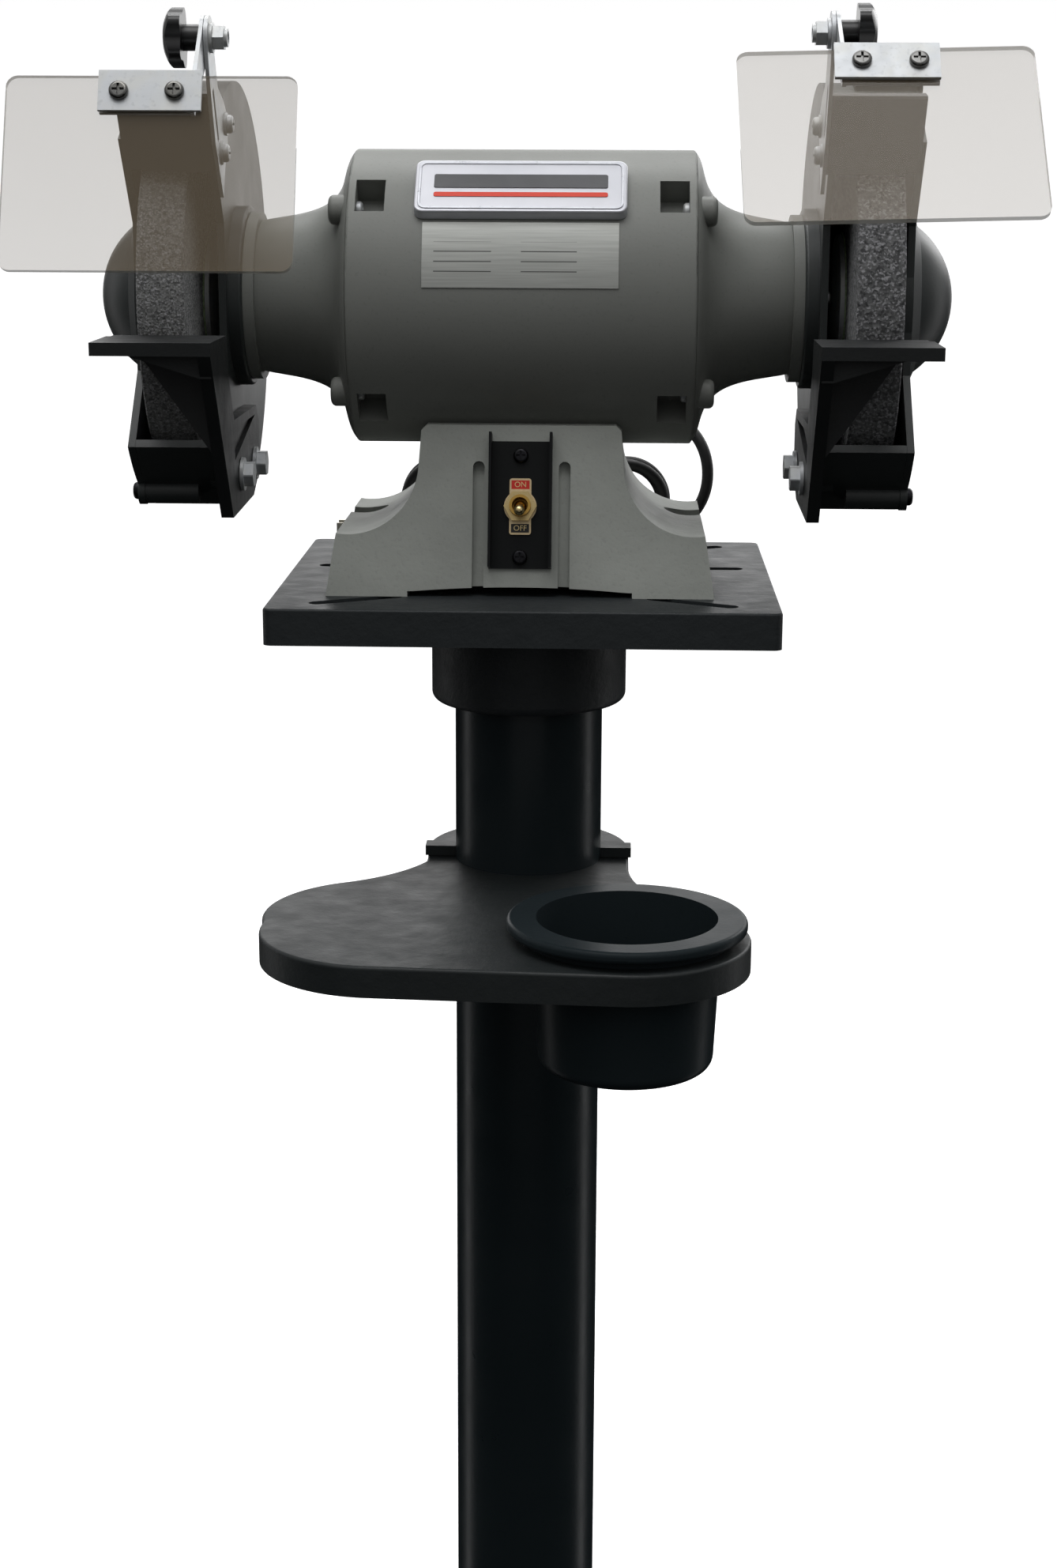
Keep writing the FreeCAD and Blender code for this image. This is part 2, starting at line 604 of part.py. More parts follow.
def end_bell():
    """Cast end bell: flared skirt, neck and bearing seat (right-hand side)."""
    outer = [(SHELL_HALF + 0.1, SHELL_R - 1.2), (97, 77.5), (99.5, 70), (103, 60.5), (109.5, 53),
             (119, 48.2), (131, 45.2), (149, NECK_R + 0.5)]
    spline = Part.BSplineCurve()
    spline.interpolate([V(x, 0, r) for x, r in outer])
    rest = [outer[-1], (149, 46.5), (NECK_END, 46.5), (NECK_END, 13), (BEARING_S + BEARING_W + 0.1, 13),
            (BEARING_S + BEARING_W + 0.1, BEARING_R), (132, BEARING_R), (132, 37), (118, 41),
            (106, 48), (98, 58), (SHELL_HALF + 0.1, 68), outer[0]]
    path = Part.makePolygon([V(x, 0, r) for x, r in rest])
    face = Part.Face(Part.Wire([spline.toShape()] + path.Edges))
    bell = face.revolve(V(0, 0, 0), X_AXIS, 360)
    lugs = []
    for angle in POCKET_ANGLES:
        lug = cyl_x(8, SHELL_HALF + 0.1, 106, 0, SCREW_CIRCLE)
        lug = rounded(lug, edges_at(lug, "x", 106), 3)
        lugs.append(around_x(lug, angle))
    bell = fused([bell] + lugs)
    for angle in POCKET_ANGLES:
        bell = bell.cut(around_x(cyl_x(2.55, 90, 103, 0, SCREW_CIRCLE), angle))
    for angle in GUARD_SCREW_ANGLES:
        bell = bell.cut(around_x(cyl_x(2.55, 142, 160, 0, GUARD_SCREW_R), angle))
    return bell


def end_bell_screws():
    screws = []
    for side in (-1, 1):
        for angle in POCKET_ANGLES:
            screw = pan_screw(4.6, 3.2, 2.5, 12)
            screw.translate(V(90.4, 0, SCREW_CIRCLE))
            screws.append(around_x(screw if side > 0 else mirrored(screw), angle))
    return group(screws)


def stator_core():
    """Laminated ring with twelve slots open to the bore."""
    ring = cyl_x(SHELL_R - SHELL_WALL - FIT, -STATOR_HALF, STATOR_HALF)
    ring = ring.cut(cyl_x(STATOR_BORE_R, -STATOR_HALF - 1, STATOR_HALF + 1))
    for i in range(12):
        slot_cut = box(-STATOR_HALF - 1, STATOR_HALF + 1, -4.5, 4.5, 30, 60)
        ring = ring.cut(around_x(slot_cut, 30 * i + 15))
    return ring


def stator_windings():
    """Copper end turns joined by the bars that lie in the slots."""
    pieces = []
    for x0 in (-58.0, STATOR_HALF + 0.2):
        ring = cyl_x(68, x0, x0 + 21.8).cut(cyl_x(46, x0 - 1, x0 + 23))
        pieces.append(rounded(ring, ring.Edges, 3))
    for i in range(12):
        bar = box(-40, 40, -4.1, 4.1, 47, 59)
        pieces.append(around_x(bar, 30 * i + 15))
    return fused(pieces)


def rotor_core():
    core = cyl_x(ROTOR_R, -STATOR_HALF, STATOR_HALF)
    rings = [cyl_x(ROTOR_R - 3, x, x + 6) for x in (-STATOR_HALF - 6, STATOR_HALF)]
    blades = []
    for i in range(6):
        for x in (-STATOR_HALF - 14, STATOR_HALF + 6):
            blades.append(around_x(box(x, x + 8, -1.5, 1.5, 20, 36), 60 * i))
    rotor = fused([core] + rings + blades)
    return rotor.cut(cyl_x(13.02, -80, 80))


def arbor_shaft():
    inner = SHOULDER_S
    steps = [(-SHAFT_END, 0), (-SHAFT_END, ARBOR_R - 1), (-SHAFT_END + 1, ARBOR_R), (-inner, ARBOR_R),
             (-inner, BEARING_BORE_R - 0.02), (-BEARING_S, BEARING_BORE_R - 0.02), (-BEARING_S, 12),
             (-80, 12), (-80, 13), (80, 13), (80, 12), (BEARING_S, 12), (BEARING_S, BEARING_BORE_R - 0.02),
             (inner, BEARING_BORE_R - 0.02), (inner, ARBOR_R), (SHAFT_END - 1, ARBOR_R),
             (SHAFT_END, ARBOR_R - 1), (SHAFT_END, 0)]
    return turned_x(steps)


def bearings():
    """Two 6204 ball bearings: outer ring, inner ring and nine balls each."""
    pieces = []
    for sign in (-1, 1):
        x0 = BEARING_S + 0.05
        x1 = BEARING_S + BEARING_W
        groove = Part.makeTorus(16.75, 4.0, V((x0 + x1) / 2, 0, 0), X_AXIS)
        outer = cyl_x(BEARING_R - 0.02, x0, x1).cut(cyl_x(19.5, x0 - 1, x1 + 1)).cut(groove)
        inner = cyl_x(14.0, x0, x1).cut(cyl_x(BEARING_BORE_R + 0.02, x0 - 1, x1 + 1)).cut(groove)
        parts = [outer, inner]
        for i in range(9):
            a = math.radians(40 * i)
            centre = V((x0 + x1) / 2, 16.75 * math.cos(a), 16.75 * math.sin(a))
            parts.append(Part.makeSphere(3.9, centre))
        pieces += [p if sign > 0 else mirrored(p) for p in parts]
    return group(pieces)


def badge():
    """Raised name plate with rounded corners, shaped to sit on the upper front of the shell."""
    plate = box(-57.5, 57.5, -2, 3.8, -19.5, 19.5)
    plate = rounded(plate, [e for e in plate.Edges if abs(e.BoundBox.YLength - 5.8) < 0.01], 5)
    plate = rounded(plate, edges_at(plate, "y", -2.0), 1.2)
    plate.rotate(V(0, 0, 0), X_AXIS, -BADGE_ANGLE)
    a = math.radians(BADGE_ANGLE)
    reach = SHELL_R + 2.2
    plate.translate(V(-0.7, -reach * math.cos(a), reach * math.sin(a)))
    return plate.cut(cyl_x(SHELL_R + 0.05, -100, 100))


def data_plate():
    """Thin curved metal plate below the badge."""
    ring = cyl_x(SHELL_R + 0.55, -53.3, 52.5).cut(cyl_x(SHELL_R + 0.05, -60, 60))
    return ring.common(box(-60, 60, -100, 0, 9.5, 43.5))


# ---- arbor --------------------------------------------------------------------------------
def both_sides(shapes):
    return group(shapes + [mirrored(s) for s in shapes])


def wheel():
    half = WHEEL_W / 2
    ring = turned_x([(-half, 26), (-half, WHEEL_R - 0.8), (-half + 0.8, WHEEL_R), (half - 0.8, WHEEL_R),
                     (half, WHEEL_R - 0.8), (half, 26)])
    bush = turned_x([(-half, ARBOR_R + 0.06), (-half, 26), (half, 26), (half, ARBOR_R + 0.06)])
    out = ring.fuse(bush).removeSplitter()
    out.translate(V(WHEEL_S, 0, 0))
    return out


def flange(face_x, sign):
    """Relieved clamping flange; face_x is the clamping face, sign the side the body lies on."""
    x = face_x
    return turned_x([(x, ARBOR_R + 0.05), (x + sign * FLANGE_T, ARBOR_R + 0.05), (x + sign * FLANGE_T, 20),
                     (x + sign * 3.4, FLANGE_R - 4), (x + sign * 2.4, FLANGE_R), (x, FLANGE_R),
                     (x, FLANGE_R - 7), (x + sign * 1.2, FLANGE_R - 9), (x + sign * 1.2, 13),
                     (x, 12)])


def wheel_flanges():
    return both_sides([flange(WHEEL_IN - BLOTTER_T, -1), flange(WHEEL_OUT + BLOTTER_T, 1)])


def wheel_blotters():
    discs = []
    for x0 in (WHEEL_IN - BLOTTER_T, WHEEL_OUT):
        discs.append(cyl_x(FLANGE_R + 1.5, x0 + 0.05, x0 + BLOTTER_T - 0.05)
                     .cut(cyl_x(ARBOR_R + 0.1, x0 - 1, x0 + 2)))
    return both_sides(discs)


def arbor_nuts():
    x0 = WHEEL_OUT + BLOTTER_T + FLANGE_T + 0.05
    nut = hex_x(23.8, x0, x0 + 13.5).common(cyl_x(13.4, x0, x0 + 13.5))
    return both_sides([nut.cut(cyl_x(ARBOR_R + 0.02, x0 - 1, x0 + 15))])


# ---- wheel guards -------------------------------------------------------------------------
def guard_outline(x):
    """Full outline of a guard in the plane X = x: a disc with a tangent hood at the top front."""
    disc = Part.Face(Part.Wire(Part.makeCircle(GUARD_R, V(x, 0, 0), X_AXIS)))
    reach = math.hypot(HOOD_Y, HOOD_Z)
    a = math.atan2(HOOD_Z, HOOD_Y) - math.acos(GUARD_R / reach)
    tangent = V(x, GUARD_R * math.cos(a), GUARD_R * math.sin(a))
    hood = polygon([V(x, 0, 0), tangent, V(x, HOOD_Y, HOOD_Z), V(x, -100, 0)])
    return disc.fuse(hood).removeSplitter().Faces[0]


def front_cut(x0, x1):
    return prism_x([(-200, HOOD_Z), (HOOD_Y, HOOD_Z), (NOTCH_Y, 42), (NOTCH_Y, -38), (LIP_Y, LIP_Z),
                    (-200, LIP_Z)], x0, x1)


def guard_inner():
    """Cast inner guard: wall against the motor, rim round the wheel, screw bosses and hub ring."""
    rim_end = COVER_S - 0.1
    full = guard_outline(GUARD_WALL_S)
    solid = full.extrude(V(rim_end - GUARD_WALL_S, 0, 0))
    hollow_face = full.makeOffset2D(-RIM_T)
    hollow = hollow_face.extrude(V(100, 0, 0))
    hollow.translate(V(GUARD_T, 0, 0))
    bosses = [cyl_x(BOSS_R, WHEEL_IN + 1, rim_end, y, z) for y, z in COVER_SCREWS]
    nut_bosses = [cyl_x(8, GUARD_WALL_S + 1, 172, y, z) for y, z in REST_BOLTS]
    guard = solid.cut(hollow).cut(front_cut(100, 260))
    guard = fused([guard] + bosses + nut_bosses)
    guard = guard.cut(cyl_x(WHEEL_R + 5, WHEEL_IN - 4, 260))
    hub = cyl_x(HUB_R, NECK_END + 0.1, GUARD_WALL_S + 1)
    hub = rounded(hub, edges_at(hub, "x", NECK_END + 0.1), 1.5)
    guard = guard.fuse(hub).cut(cyl_x(13.5, 150, 180)).removeSplitter()
    for y, z in COVER_SCREWS:
        guard = guard.cut(cyl_x(2.55, rim_end - 22, 260, y, z))
    for y, z in REST_BOLTS:
        guard = guard.cut(cyl_x(4.05, 150, 180, y, z))
    for y, z in BRACKET_SCREWS:
        guard = guard.cut(cyl_x(2.55, 150, 180, y, z))
    for angle in GUARD_SCREW_ANGLES:
        guard = guard.cut(around_x(cyl_x(2.75, 150, 180, 0, GUARD_SCREW_R), angle))
    return guard


def guard_cover():
    """Outer cover: flat plate with a domed hub."""
    centre = DOME_END - DOME_R
    face = guard_outline(COVER_S)
    plate = face.extrude(V(COVER_T, 0, 0)).cut(front_cut(100, 260))
    ears = [cyl_x(BOSS_R + 0.5, COVER_S, COVER_S + COVER_T, y, z) for y, z in COVER_SCREWS]
    dome = Part.makeSphere(DOME_R, V(centre, 0, 0)).common(box(COVER_S, 260, -60, 60, -60, 60))
    skirt = turned_x([(COVER_S, 0), (COVER_S, 56), (COVER_S + COVER_T, 56), (COVER_S + COVER_T + 6, 42),
                      (COVER_S + COVER_T + 6, 0)])
    cover = fused([plate] + ears + [dome, skirt])
    inside = Part.makeSphere(DOME_R - 4, V(centre, 0, 0))
    cover = cover.cut(inside)
    outer_edges = edges_at(cover, "x", COVER_S + COVER_T)
    cover = rounded(cover, [e for e in outer_edges if e.Length > 60 and e.BoundBox.YMax > 57], 1.2)
    for y, z in COVER_SCREWS:
        cover = cover.cut(cyl_x(2.7, COVER_S - 1, 260, y, z))
    return cover


def guard_screws():
    """M5 pan screws: three hold each guard to its bell, three hold each outer cover."""
    screws = []
    for y, z in COVER_SCREWS:
        screw = pan_screw(4.8, 3.4, 2.5, 24)
        screw.rotate(V(0, 0, 0), Z_AXIS, 180)
        screw.translate(V(COVER_S + COVER_T + 0.05, y, z))
        screws.append(screw)
    for angle in GUARD_SCREW_ANGLES:
        screw = pan_screw(4.8, 3.0, 2.5, 20)
        screw.rotate(V(0, 0, 0), Z_AXIS, 180)
        screw.translate(V(GUARD_WALL_S + GUARD_T + 0.05, 0, GUARD_SCREW_R))
        screws.append(around_x(screw, angle))
    return both_sides(screws)


# ---- tool rests ---------------------------------------------------------------------------
def tool_rest():
    """Cast rest: table, side plate with two adjusting slots, and a gusset under the table."""
    side_end = GUARD_WALL_S - 0.3
    table = box(REST_IN_S, REST_OUT_S, REST_FRONT, REST_BACK, REST_TOP - REST_T, REST_TOP)
    bevel = prism_y([(REST_OUT_S - 5, 0), (REST_OUT_S + 1, 0), (REST_OUT_S + 1, -24), (REST_OUT_S - 1, -24)],
                    REST_BACK - 9, REST_BACK + 1)
    table = table.cut(bevel)
    low = REST_TOP - REST_T
    side = prism_x([(REST_FRONT, REST_TOP), (REST_BACK, REST_TOP), (-101, -34), (-82, -62), (4, -62),
                    (14, -72), (14, -100), (-12, -112), (-92, -114), (REST_FRONT, low)],
                   REST_IN_S, side_end)
    web = prism_y([(REST_IN_S + 1, low + 1), (203, low + 1), (198, low - 5), (side_end, -76),
                   (REST_IN_S + 1, -76)], -118, -109)
    lip = prism_y([(REST_IN_S + 1, low + 1), (205, low + 1), (side_end, low - 12),
                   (REST_IN_S + 1, low - 12)], -152, -109)
    rest = fused([table, side, web, lip])
    pocket = prism_x([(-82, -67), (-2, -67), (-82, -84)], REST_IN_S - 1, REST_IN_S + 2.5)
    rest = rest.cut(pocket)
    for y, z in REST_BOLTS:
        slot_cut = box(REST_IN_S - 1, side_end + 1, y - 4, y + 20, z - 4.4, z + 4.4)
        slot_cut = slot_cut.fuse(cyl_x(4.4, REST_IN_S - 1, side_end + 1, y - 4, z))
        slot_cut = slot_cut.fuse(cyl_x(4.4, REST_IN_S - 1, side_end + 1, y + 20, z))
        rest = rest.cut(slot_cut)
    return rest


def tool_rest_bolts():
    bolts = []
    for y, z in REST_BOLTS:
        bolt = hex_bolt(13, 5.3, 4, 16, 9.2, 1.8)
        bolt.translate(V(REST_IN_S - 0.3, y, z))
        bolts.append(bolt)
    return both_sides(bolts)


# ---- spark arrestors ----------------------------------------------------------------------
def spark_arrestor():
    """Bent sheet: sloping front plate with a rear top fold and a slotted side tab."""
    t = 1.6
    top, low = (-108.0, 108.0), (-84.0, 70.0)
    x0, x1 = 160.95, 210.0
    down = V(0, low[0] - top[0], low[1] - top[1]).normalize()
    out = V(0, down.z, -down.y)
    a = V(x0, *top)
    b = V(x0, *low)
    front = polygon([a, b, b + out * t, a + out * t]).extrude(V(x1 - x0, 0, 0))
    fold = prism_x([(top[0] - 1.3, top[1] - 0.8), (top[0] + 9, top[1] + 1), (top[0] + 9, top[1] + 2.6),
                    (top[0] - 1.3, top[1] + 0.8)], x0, x1)
    tab = prism_x([top, (-92, 104), (-66, 104), (-58, 96), (-66, 84), (-80, 70), low], x0, x0 + t)
    sheet = fused([front, fold, tab])
    sheet = sheet.cut(box(x1 - 9, x1 + 1, -86, -80, 68, 74))
    for y, z in BRACKET_SCREWS:
        slot_cut = box(x0 - 1, x0 + t + 1, *SPARK_SLOT, -SPARK_SLOT_R, SPARK_SLOT_R)
        slot_cut = slot_cut.multiFuse([cyl_x(SPARK_SLOT_R, x0 - 1, x0 + t + 1, end) for end in SPARK_SLOT])
        slot_cut = around_x(slot_cut, SPARK_ANGLE)
        slot_cut.translate(V(0, y, z))
        sheet = sheet.cut(slot_cut)
    return sheet


# ---- eye shields --------------------------------------------------------------------------
def from_shield_frame(shape, side):
    """Shield frame: origin at the pivot, upright shield plane; turn to the tilt and place."""
    out = shape.copy()
    out.rotate(V(0, 0, 0), X_AXIS, -SHIELD_TILT[side])
    out.translate(V(0, PIVOT_Y, PIVOT_Z[side]))
    return out if side == "right" else mirrored(out)


def shield_arm():
    """Zinc-plated arm: pivot disc, strap and the folded channel that grips the shield's top."""
    y0, z0 = SHIELD_TOP
    gap = SHIELD_T / 2 + 0.05
    x0, x1 = CLAMP_IN_S, CLAMP_OUT_S
    back = box(x0, x1, y0 + gap, y0 + gap + SHEET_T, z0 - CLAMP_H, z0 + 2.2)
    front = box(x0 - 4, x1, y0 - gap - SHEET_T, y0 - gap, z0 - CLAMP_H - 0.5, z0 + 2.2)
    roof = box(x0, x1, y0 - gap - SHEET_T, y0 + gap + SHEET_T, z0 + 1.0, z0 + 2.2)
    disc = cyl_x(11, x0, x0 + SHEET_T)
    strap = prism_x([(7, -8), (-9, 5), (y0 + gap, z0 + 2.2), (y0 + gap, z0 - CLAMP_H),
                     (y0 + gap + 3, z0 - CLAMP_H)], x0, x0 + SHEET_T)
    arm = fused([back, front, roof, disc, strap])
    arm = arm.cut(cyl_x(4.2, x0 - 1, x0 + 5))
    for x in SHIELD_SCREW_S:
        arm = arm.cut(cyl_y(2.1, -80, 0, x, z0 - 9))
    return arm


def eye_shield(side):
    y0, z0 = SHIELD_TOP
    plate = box(SHIELD_IN_S, SHIELD_OUT_S, y0 - SHIELD_T / 2, y0 + SHIELD_T / 2, z0 - SHIELD_H, z0)
    corners = [e for e in plate.Edges if abs(e.BoundBox.YLength - SHIELD_T) < 0.01]
    plate = rounded(plate, corners, 6)
    middle = V(sum(SHIELD_SCREW_S) / 2, y0, z0 - 9)
    plate.rotate(middle, Y_AXIS, -SHIELD_ROLL[side])
    roof = box(CLAMP_IN_S - 5, CLAMP_OUT_S + 5, y0 - 5, y0 + 5, z0 + 0.9, z0 + 12)
    plate = plate.cut(roof)
    for x in SHIELD_SCREW_S:
        plate = plate.cut(cyl_y(2.6, -80, 0, x, z0 - 9))
    return plate


def shield_screws():
    """Two M4 pan screws through the clamp, each with a hex nut behind."""
    y0, z0 = SHIELD_TOP
    seat = y0 - SHIELD_T / 2 - 0.05 - SHEET_T - 0.05
    pieces = []
    for x in SHIELD_SCREW_S:
        screw = aligned(pan_screw(4.9, 3.0, 1.95, 12), Y_AXIS, V(x, seat, z0 - 9))
        nut = hex_x(7, 0, 3.2).cut(cyl_x(1.98, -1, 5))
        back = V(x, y0 + SHIELD_T / 2 + 0.1 + SHEET_T, z0 - 9)
        pieces += [screw, aligned(nut, Y_AXIS, back)]
    return group(pieces)


def shield_bracket(side):
    """Zinc-plated side bracket: pivot ear, long slot and a pointed lower end, on the guard's wall."""
    x0 = GUARD_WALL_S - 4.0
    x1 = x0 + SHEET_T
    lift = PIVOT_Z[side] - PIVOT_Z["left"]
    outline = [(PIVOT_Y - 10.5, 133), (-116, 112), (-103, 84), (-79, 56), (-72, 70), (-60, 84), (-59, 98),
               (-72, 106), (-90, 112), (PIVOT_Y + 10.5, 133)]
    plate = prism_x(outline, x0, x1).fuse(cyl_x(11, x0, x1, PIVOT_Y, PIVOT_Z["left"]))
    plate = plate.removeSplitter()
    plate = plate.cut(cyl_x(4.2, x0 - 1, x1 + 1, PIVOT_Y, PIVOT_Z["left"]))
    long_slot = box(x0 - 1, x1 + 1, -2.2, 2.2, -15, 15)
    long_slot.rotate(V(0, 0, 0), X_AXIS, 30)
    long_slot.translate(V(0, -100, 98))
    plate = plate.cut(long_slot)
    plate.translate(V(0, 0, lift))
    for y, z in BRACKET_SCREWS:
        plate = plate.cut(cyl_x(2.75, x0 - 1, x1 + 1, y, z))
    return plate if side == "right" else mirrored(plate)


def bracket_screws():
    screws = []
    for y, z in BRACKET_SCREWS:
        screw = pan_screw(4.8, 3.2, 2.5, 8)
        washer = cyl_x(6, -1.2, 0).cut(cyl_x(2.6, -2, 1))
        screw.translate(V(-1.25, 0, 0))
        for piece in (screw, washer):
            piece.translate(V(GUARD_WALL_S - 4.05, y, z))
            screws.append(piece)
    return both_sides(screws)


def knob_profile(lobes, r_in, r_out, steps):
    points = []
    for i in range(lobes * steps):
        a = 2 * math.pi * i / (lobes * steps)
        r = (r_in + r_out) / 2 + (r_out - r_in) / 2 * math.cos(lobes * a)
        points.append(V(0, r * math.cos(a), r * math.sin(a)))
    curve = Part.BSplineCurve()
    curve.interpolate(points, PeriodicFlag=True)
    return Part.Face(Part.Wire([curve.toShape()]))


def clamp_knob(side):
    """Black five-lobed knob with a moulded hub and a steel stud through bracket and arm."""
    x0 = CLAMP_IN_S + SHEET_T + 0.3
    grip = knob_profile(5, 12.2, 15.6, 6).extrude(V(9.5, 0, 0))
    grip.translate(V(x0 + 9, 0, 0))
    crown = Part.makeSphere(26, V(x0 - 6.0, 0, 0))
    hub = cyl_x(6.6, x0, x0 + 12)
    knob = grip.common(crown).fuse(hub).removeSplitter()
    knob = knob.cut(cyl_x(3.1, x0 - 1, x0 + 12))
    stud = cyl_x(3.0, x0 - 12.5, x0 + 11.8)
    out = group([knob, stud])
    out.translate(V(0, PIVOT_Y, PIVOT_Z[side]))
    return out if side == "right" else mirrored(out)


def pivot_nuts():
    """Lock nut and washer on the motor side of each pivot."""
    x0 = GUARD_WALL_S - 4.1
    pieces = []
    for side in ("left", "right"):
        nut = hex_x(11.5, x0 - 7.4, x0 - 1.7).fuse(cyl_x(4.6, x0 - 9.2, x0 - 7.0)).removeSplitter()
        washer = cyl_x(7.6, x0 - 1.6, x0)
        for piece in (nut, washer):
            piece = piece.cut(cyl_x(3.08, x0 - 12, x0 + 1))
            piece.translate(V(0, PIVOT_Y, PIVOT_Z[side]))
            pieces.append(piece if side == "right" else mirrored(piece))
    return group(pieces)


# ---- supply cord --------------------------------------------------------------------------
def tube(points, name):
    """Round tube along straight runs joined by tangent arcs; prints its radii and volume check."""
    points = [V(*p) for p in points]
    edges = []
    start = points[0]
    radii = []
    for i in range(1, len(points) - 1):
        before = points[i - 1] - points[i]
        after = points[i + 1] - points[i]
        turn = math.pi - before.getAngle(after)
        shorter = min(before.Length, after.Length)
        radii.append(0.45 * shorter / math.tan(turn / 2))
        a = points[i] + before.normalize() * (0.45 * shorter)
        b = points[i] + after.normalize() * (0.45 * shorter)
        bisector = (before + after).normalize()
        reach = math.hypot(radii[-1], 0.45 * shorter)
        middle = points[i] + bisector * (reach - radii[-1])
        edges.append(Part.LineSegment(start, a).toShape())
        edges.append(Part.Arc(a, middle, b).toShape())
        start = b
    edges.append(Part.LineSegment(start, points[-1]).toShape())
    path = Part.Wire(edges)
    ring = Part.Wire(Part.makeCircle(CORD_D / 2, points[0], points[1] - points[0]))
    solid = path.makePipeShell([ring], True, False)
    section = math.pi * CORD_D ** 2 / 4
    print(name, "radii", [round(r, 1) for r in radii], "length", round(path.Length, 1),
          "volume ratio", round(solid.Volume / (section * path.Length), 4), solid.isValid())
    return solid


def cord():
    return group([tube(CORD_LEAD, "lead"), tube(CORD_TAIL, "tail")])


def cord_hank():
    """Outer shape of the tied hank: upright racetrack turns lying side by side behind the base."""
    r = HANK_BEND + CORD_D / 2
    half = HANK_RUN / 2
    body = box(-half, half, HANK_Y0, HANK_Y1, 0.1, 2 * r)
    ends = [cyl_y(r, HANK_Y0, HANK_Y1, x, r) for x in (-half, half)]
    solid = fused([body] + ends)
    return solid.common(box(-200, 200, 0, 200, 0.1, 200))


def strain_relief():
    """Moulded bush in the back of the base, tapering along the cord."""
    x, z = GLAND
    r = CORD_D / 2
    taper = Part.makeCone(7.2, r + 1.2, 24, V(x, 67.5, z), Y_AXIS)
    stem = cyl_y(6.0, 53, 68, x, z)
    collar = cyl_y(9, 68.8, 71.6, x, z)
    return fused([taper, stem, collar])


def plug():
    """Moulded mains plug with two flat blades and an earth pin, lying behind the base."""
    face = PLUG_FACE_X
    body = turned_x([(face, 0), (face, 9.7), (face + 3, 10.2), (face + 12, 10.2), (face + 18, 8.6),
                     (face + 24, 7.8), (CORD_TAIL[0][0], 4.6), (CORD_TAIL[0][0], 0)])
    blades = []
    for y in (-6.35, 6.35):
        blade = box(face - 17, face - 0.05, y - 0.8, y + 0.8, 0.05, 6.35)
        blades.append(blade.cut(cyl_y(1.5, y - 2, y + 2, face - 13, 3.2)))
    pin = cyl_x(2.4, face - 19, face - 0.05, 0, -5.8)
    out = group([body] + blades + [pin])
    out.translate(V(0, PLUG_Y, PLUG_Z))
    return out


# ---- write every sub-part -----------------------------------------------------------------
FLOOR = V(0, 0, 0)
for node, maker, place in (
        ("stand_base", stand_base, FLOOR), ("post", post, FLOOR), ("post_set_screws", post_set_screws, FLOOR),
        ("platform", platform, STAND), ("tool_tray", tool_tray, STAND), ("tray_clamp", tray_clamp, STAND),
        ("tray_clamp_bolts", tray_clamp_bolts, STAND), ("water_pot", water_pot, STAND),
        ("motor_base", motor_base, BENCH), ("base_bolts", base_bolts, BENCH),
        ("bottom_cover", bottom_cover, BENCH), ("base_screws", base_screws, BENCH),
        ("switch_plate", switch_plate, BENCH), ("switch_body", switch_body, BENCH),
        ("switch_legend", switch_legend, BENCH), ("switch_nut", switch_nut, BENCH),
        ("switch_lever", switch_lever, BENCH), ("capacitor", capacitor, BENCH),
        ("motor_shell", motor_shell, ARBOR), ("end_bell_screws", end_bell_screws, ARBOR),
        ("stator_core", stator_core, ARBOR), ("stator_windings", stator_windings, ARBOR),
        ("rotor_core", rotor_core, ARBOR), ("arbor_shaft", arbor_shaft, ARBOR),
        ("bearings", bearings, ARBOR), ("badge", badge, ARBOR), ("data_plate", data_plate, ARBOR),
        ("wheel_flanges", wheel_flanges, ARBOR), ("wheel_blotters", wheel_blotters, ARBOR),
        ("arbor_nuts", arbor_nuts, ARBOR), ("guard_screws", guard_screws, ARBOR),
        ("tool_rest_bolts", tool_rest_bolts, ARBOR), ("bracket_screws", bracket_screws, ARBOR),
        ("pivot_nuts", pivot_nuts, ARBOR), ("strain_relief", strain_relief, STAND),
        ("cord", cord, STAND), ("cord_hank", cord_hank, STAND), ("plug", plug, STAND)):
    save(node, maker(), place)

for node, maker in (("end_bell", end_bell), ("wheel", wheel), ("guard_inner", guard_inner),
                    ("guard_cover", guard_cover), ("tool_rest", tool_rest),
                    ("spark_arrestor", spark_arrestor)):
    save_pair(node, maker(), ARBOR)

for hand in ("left", "right"):
    save("shield_arm_" + hand, from_shield_frame(shield_arm(), hand), ARBOR)
    save("eye_shield_" + hand, from_shield_frame(eye_shield(hand), hand), ARBOR)
    save("shield_screws_" + hand, from_shield_frame(shield_screws(), hand), ARBOR)
    save("shield_bracket_" + hand, shield_bracket(hand), ARBOR)
    save("clamp_knob_" + hand, clamp_knob(hand), ARBOR)
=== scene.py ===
import math

import bmesh
import bpy
from mathutils import Matrix, Vector


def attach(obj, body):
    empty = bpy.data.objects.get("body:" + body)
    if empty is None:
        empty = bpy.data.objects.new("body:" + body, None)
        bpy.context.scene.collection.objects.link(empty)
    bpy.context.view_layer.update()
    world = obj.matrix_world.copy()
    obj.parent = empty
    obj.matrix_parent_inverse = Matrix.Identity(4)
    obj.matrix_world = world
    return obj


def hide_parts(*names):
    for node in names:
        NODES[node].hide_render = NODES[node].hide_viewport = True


# Pedestal bench grinder: looks, cord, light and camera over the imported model. Metres.

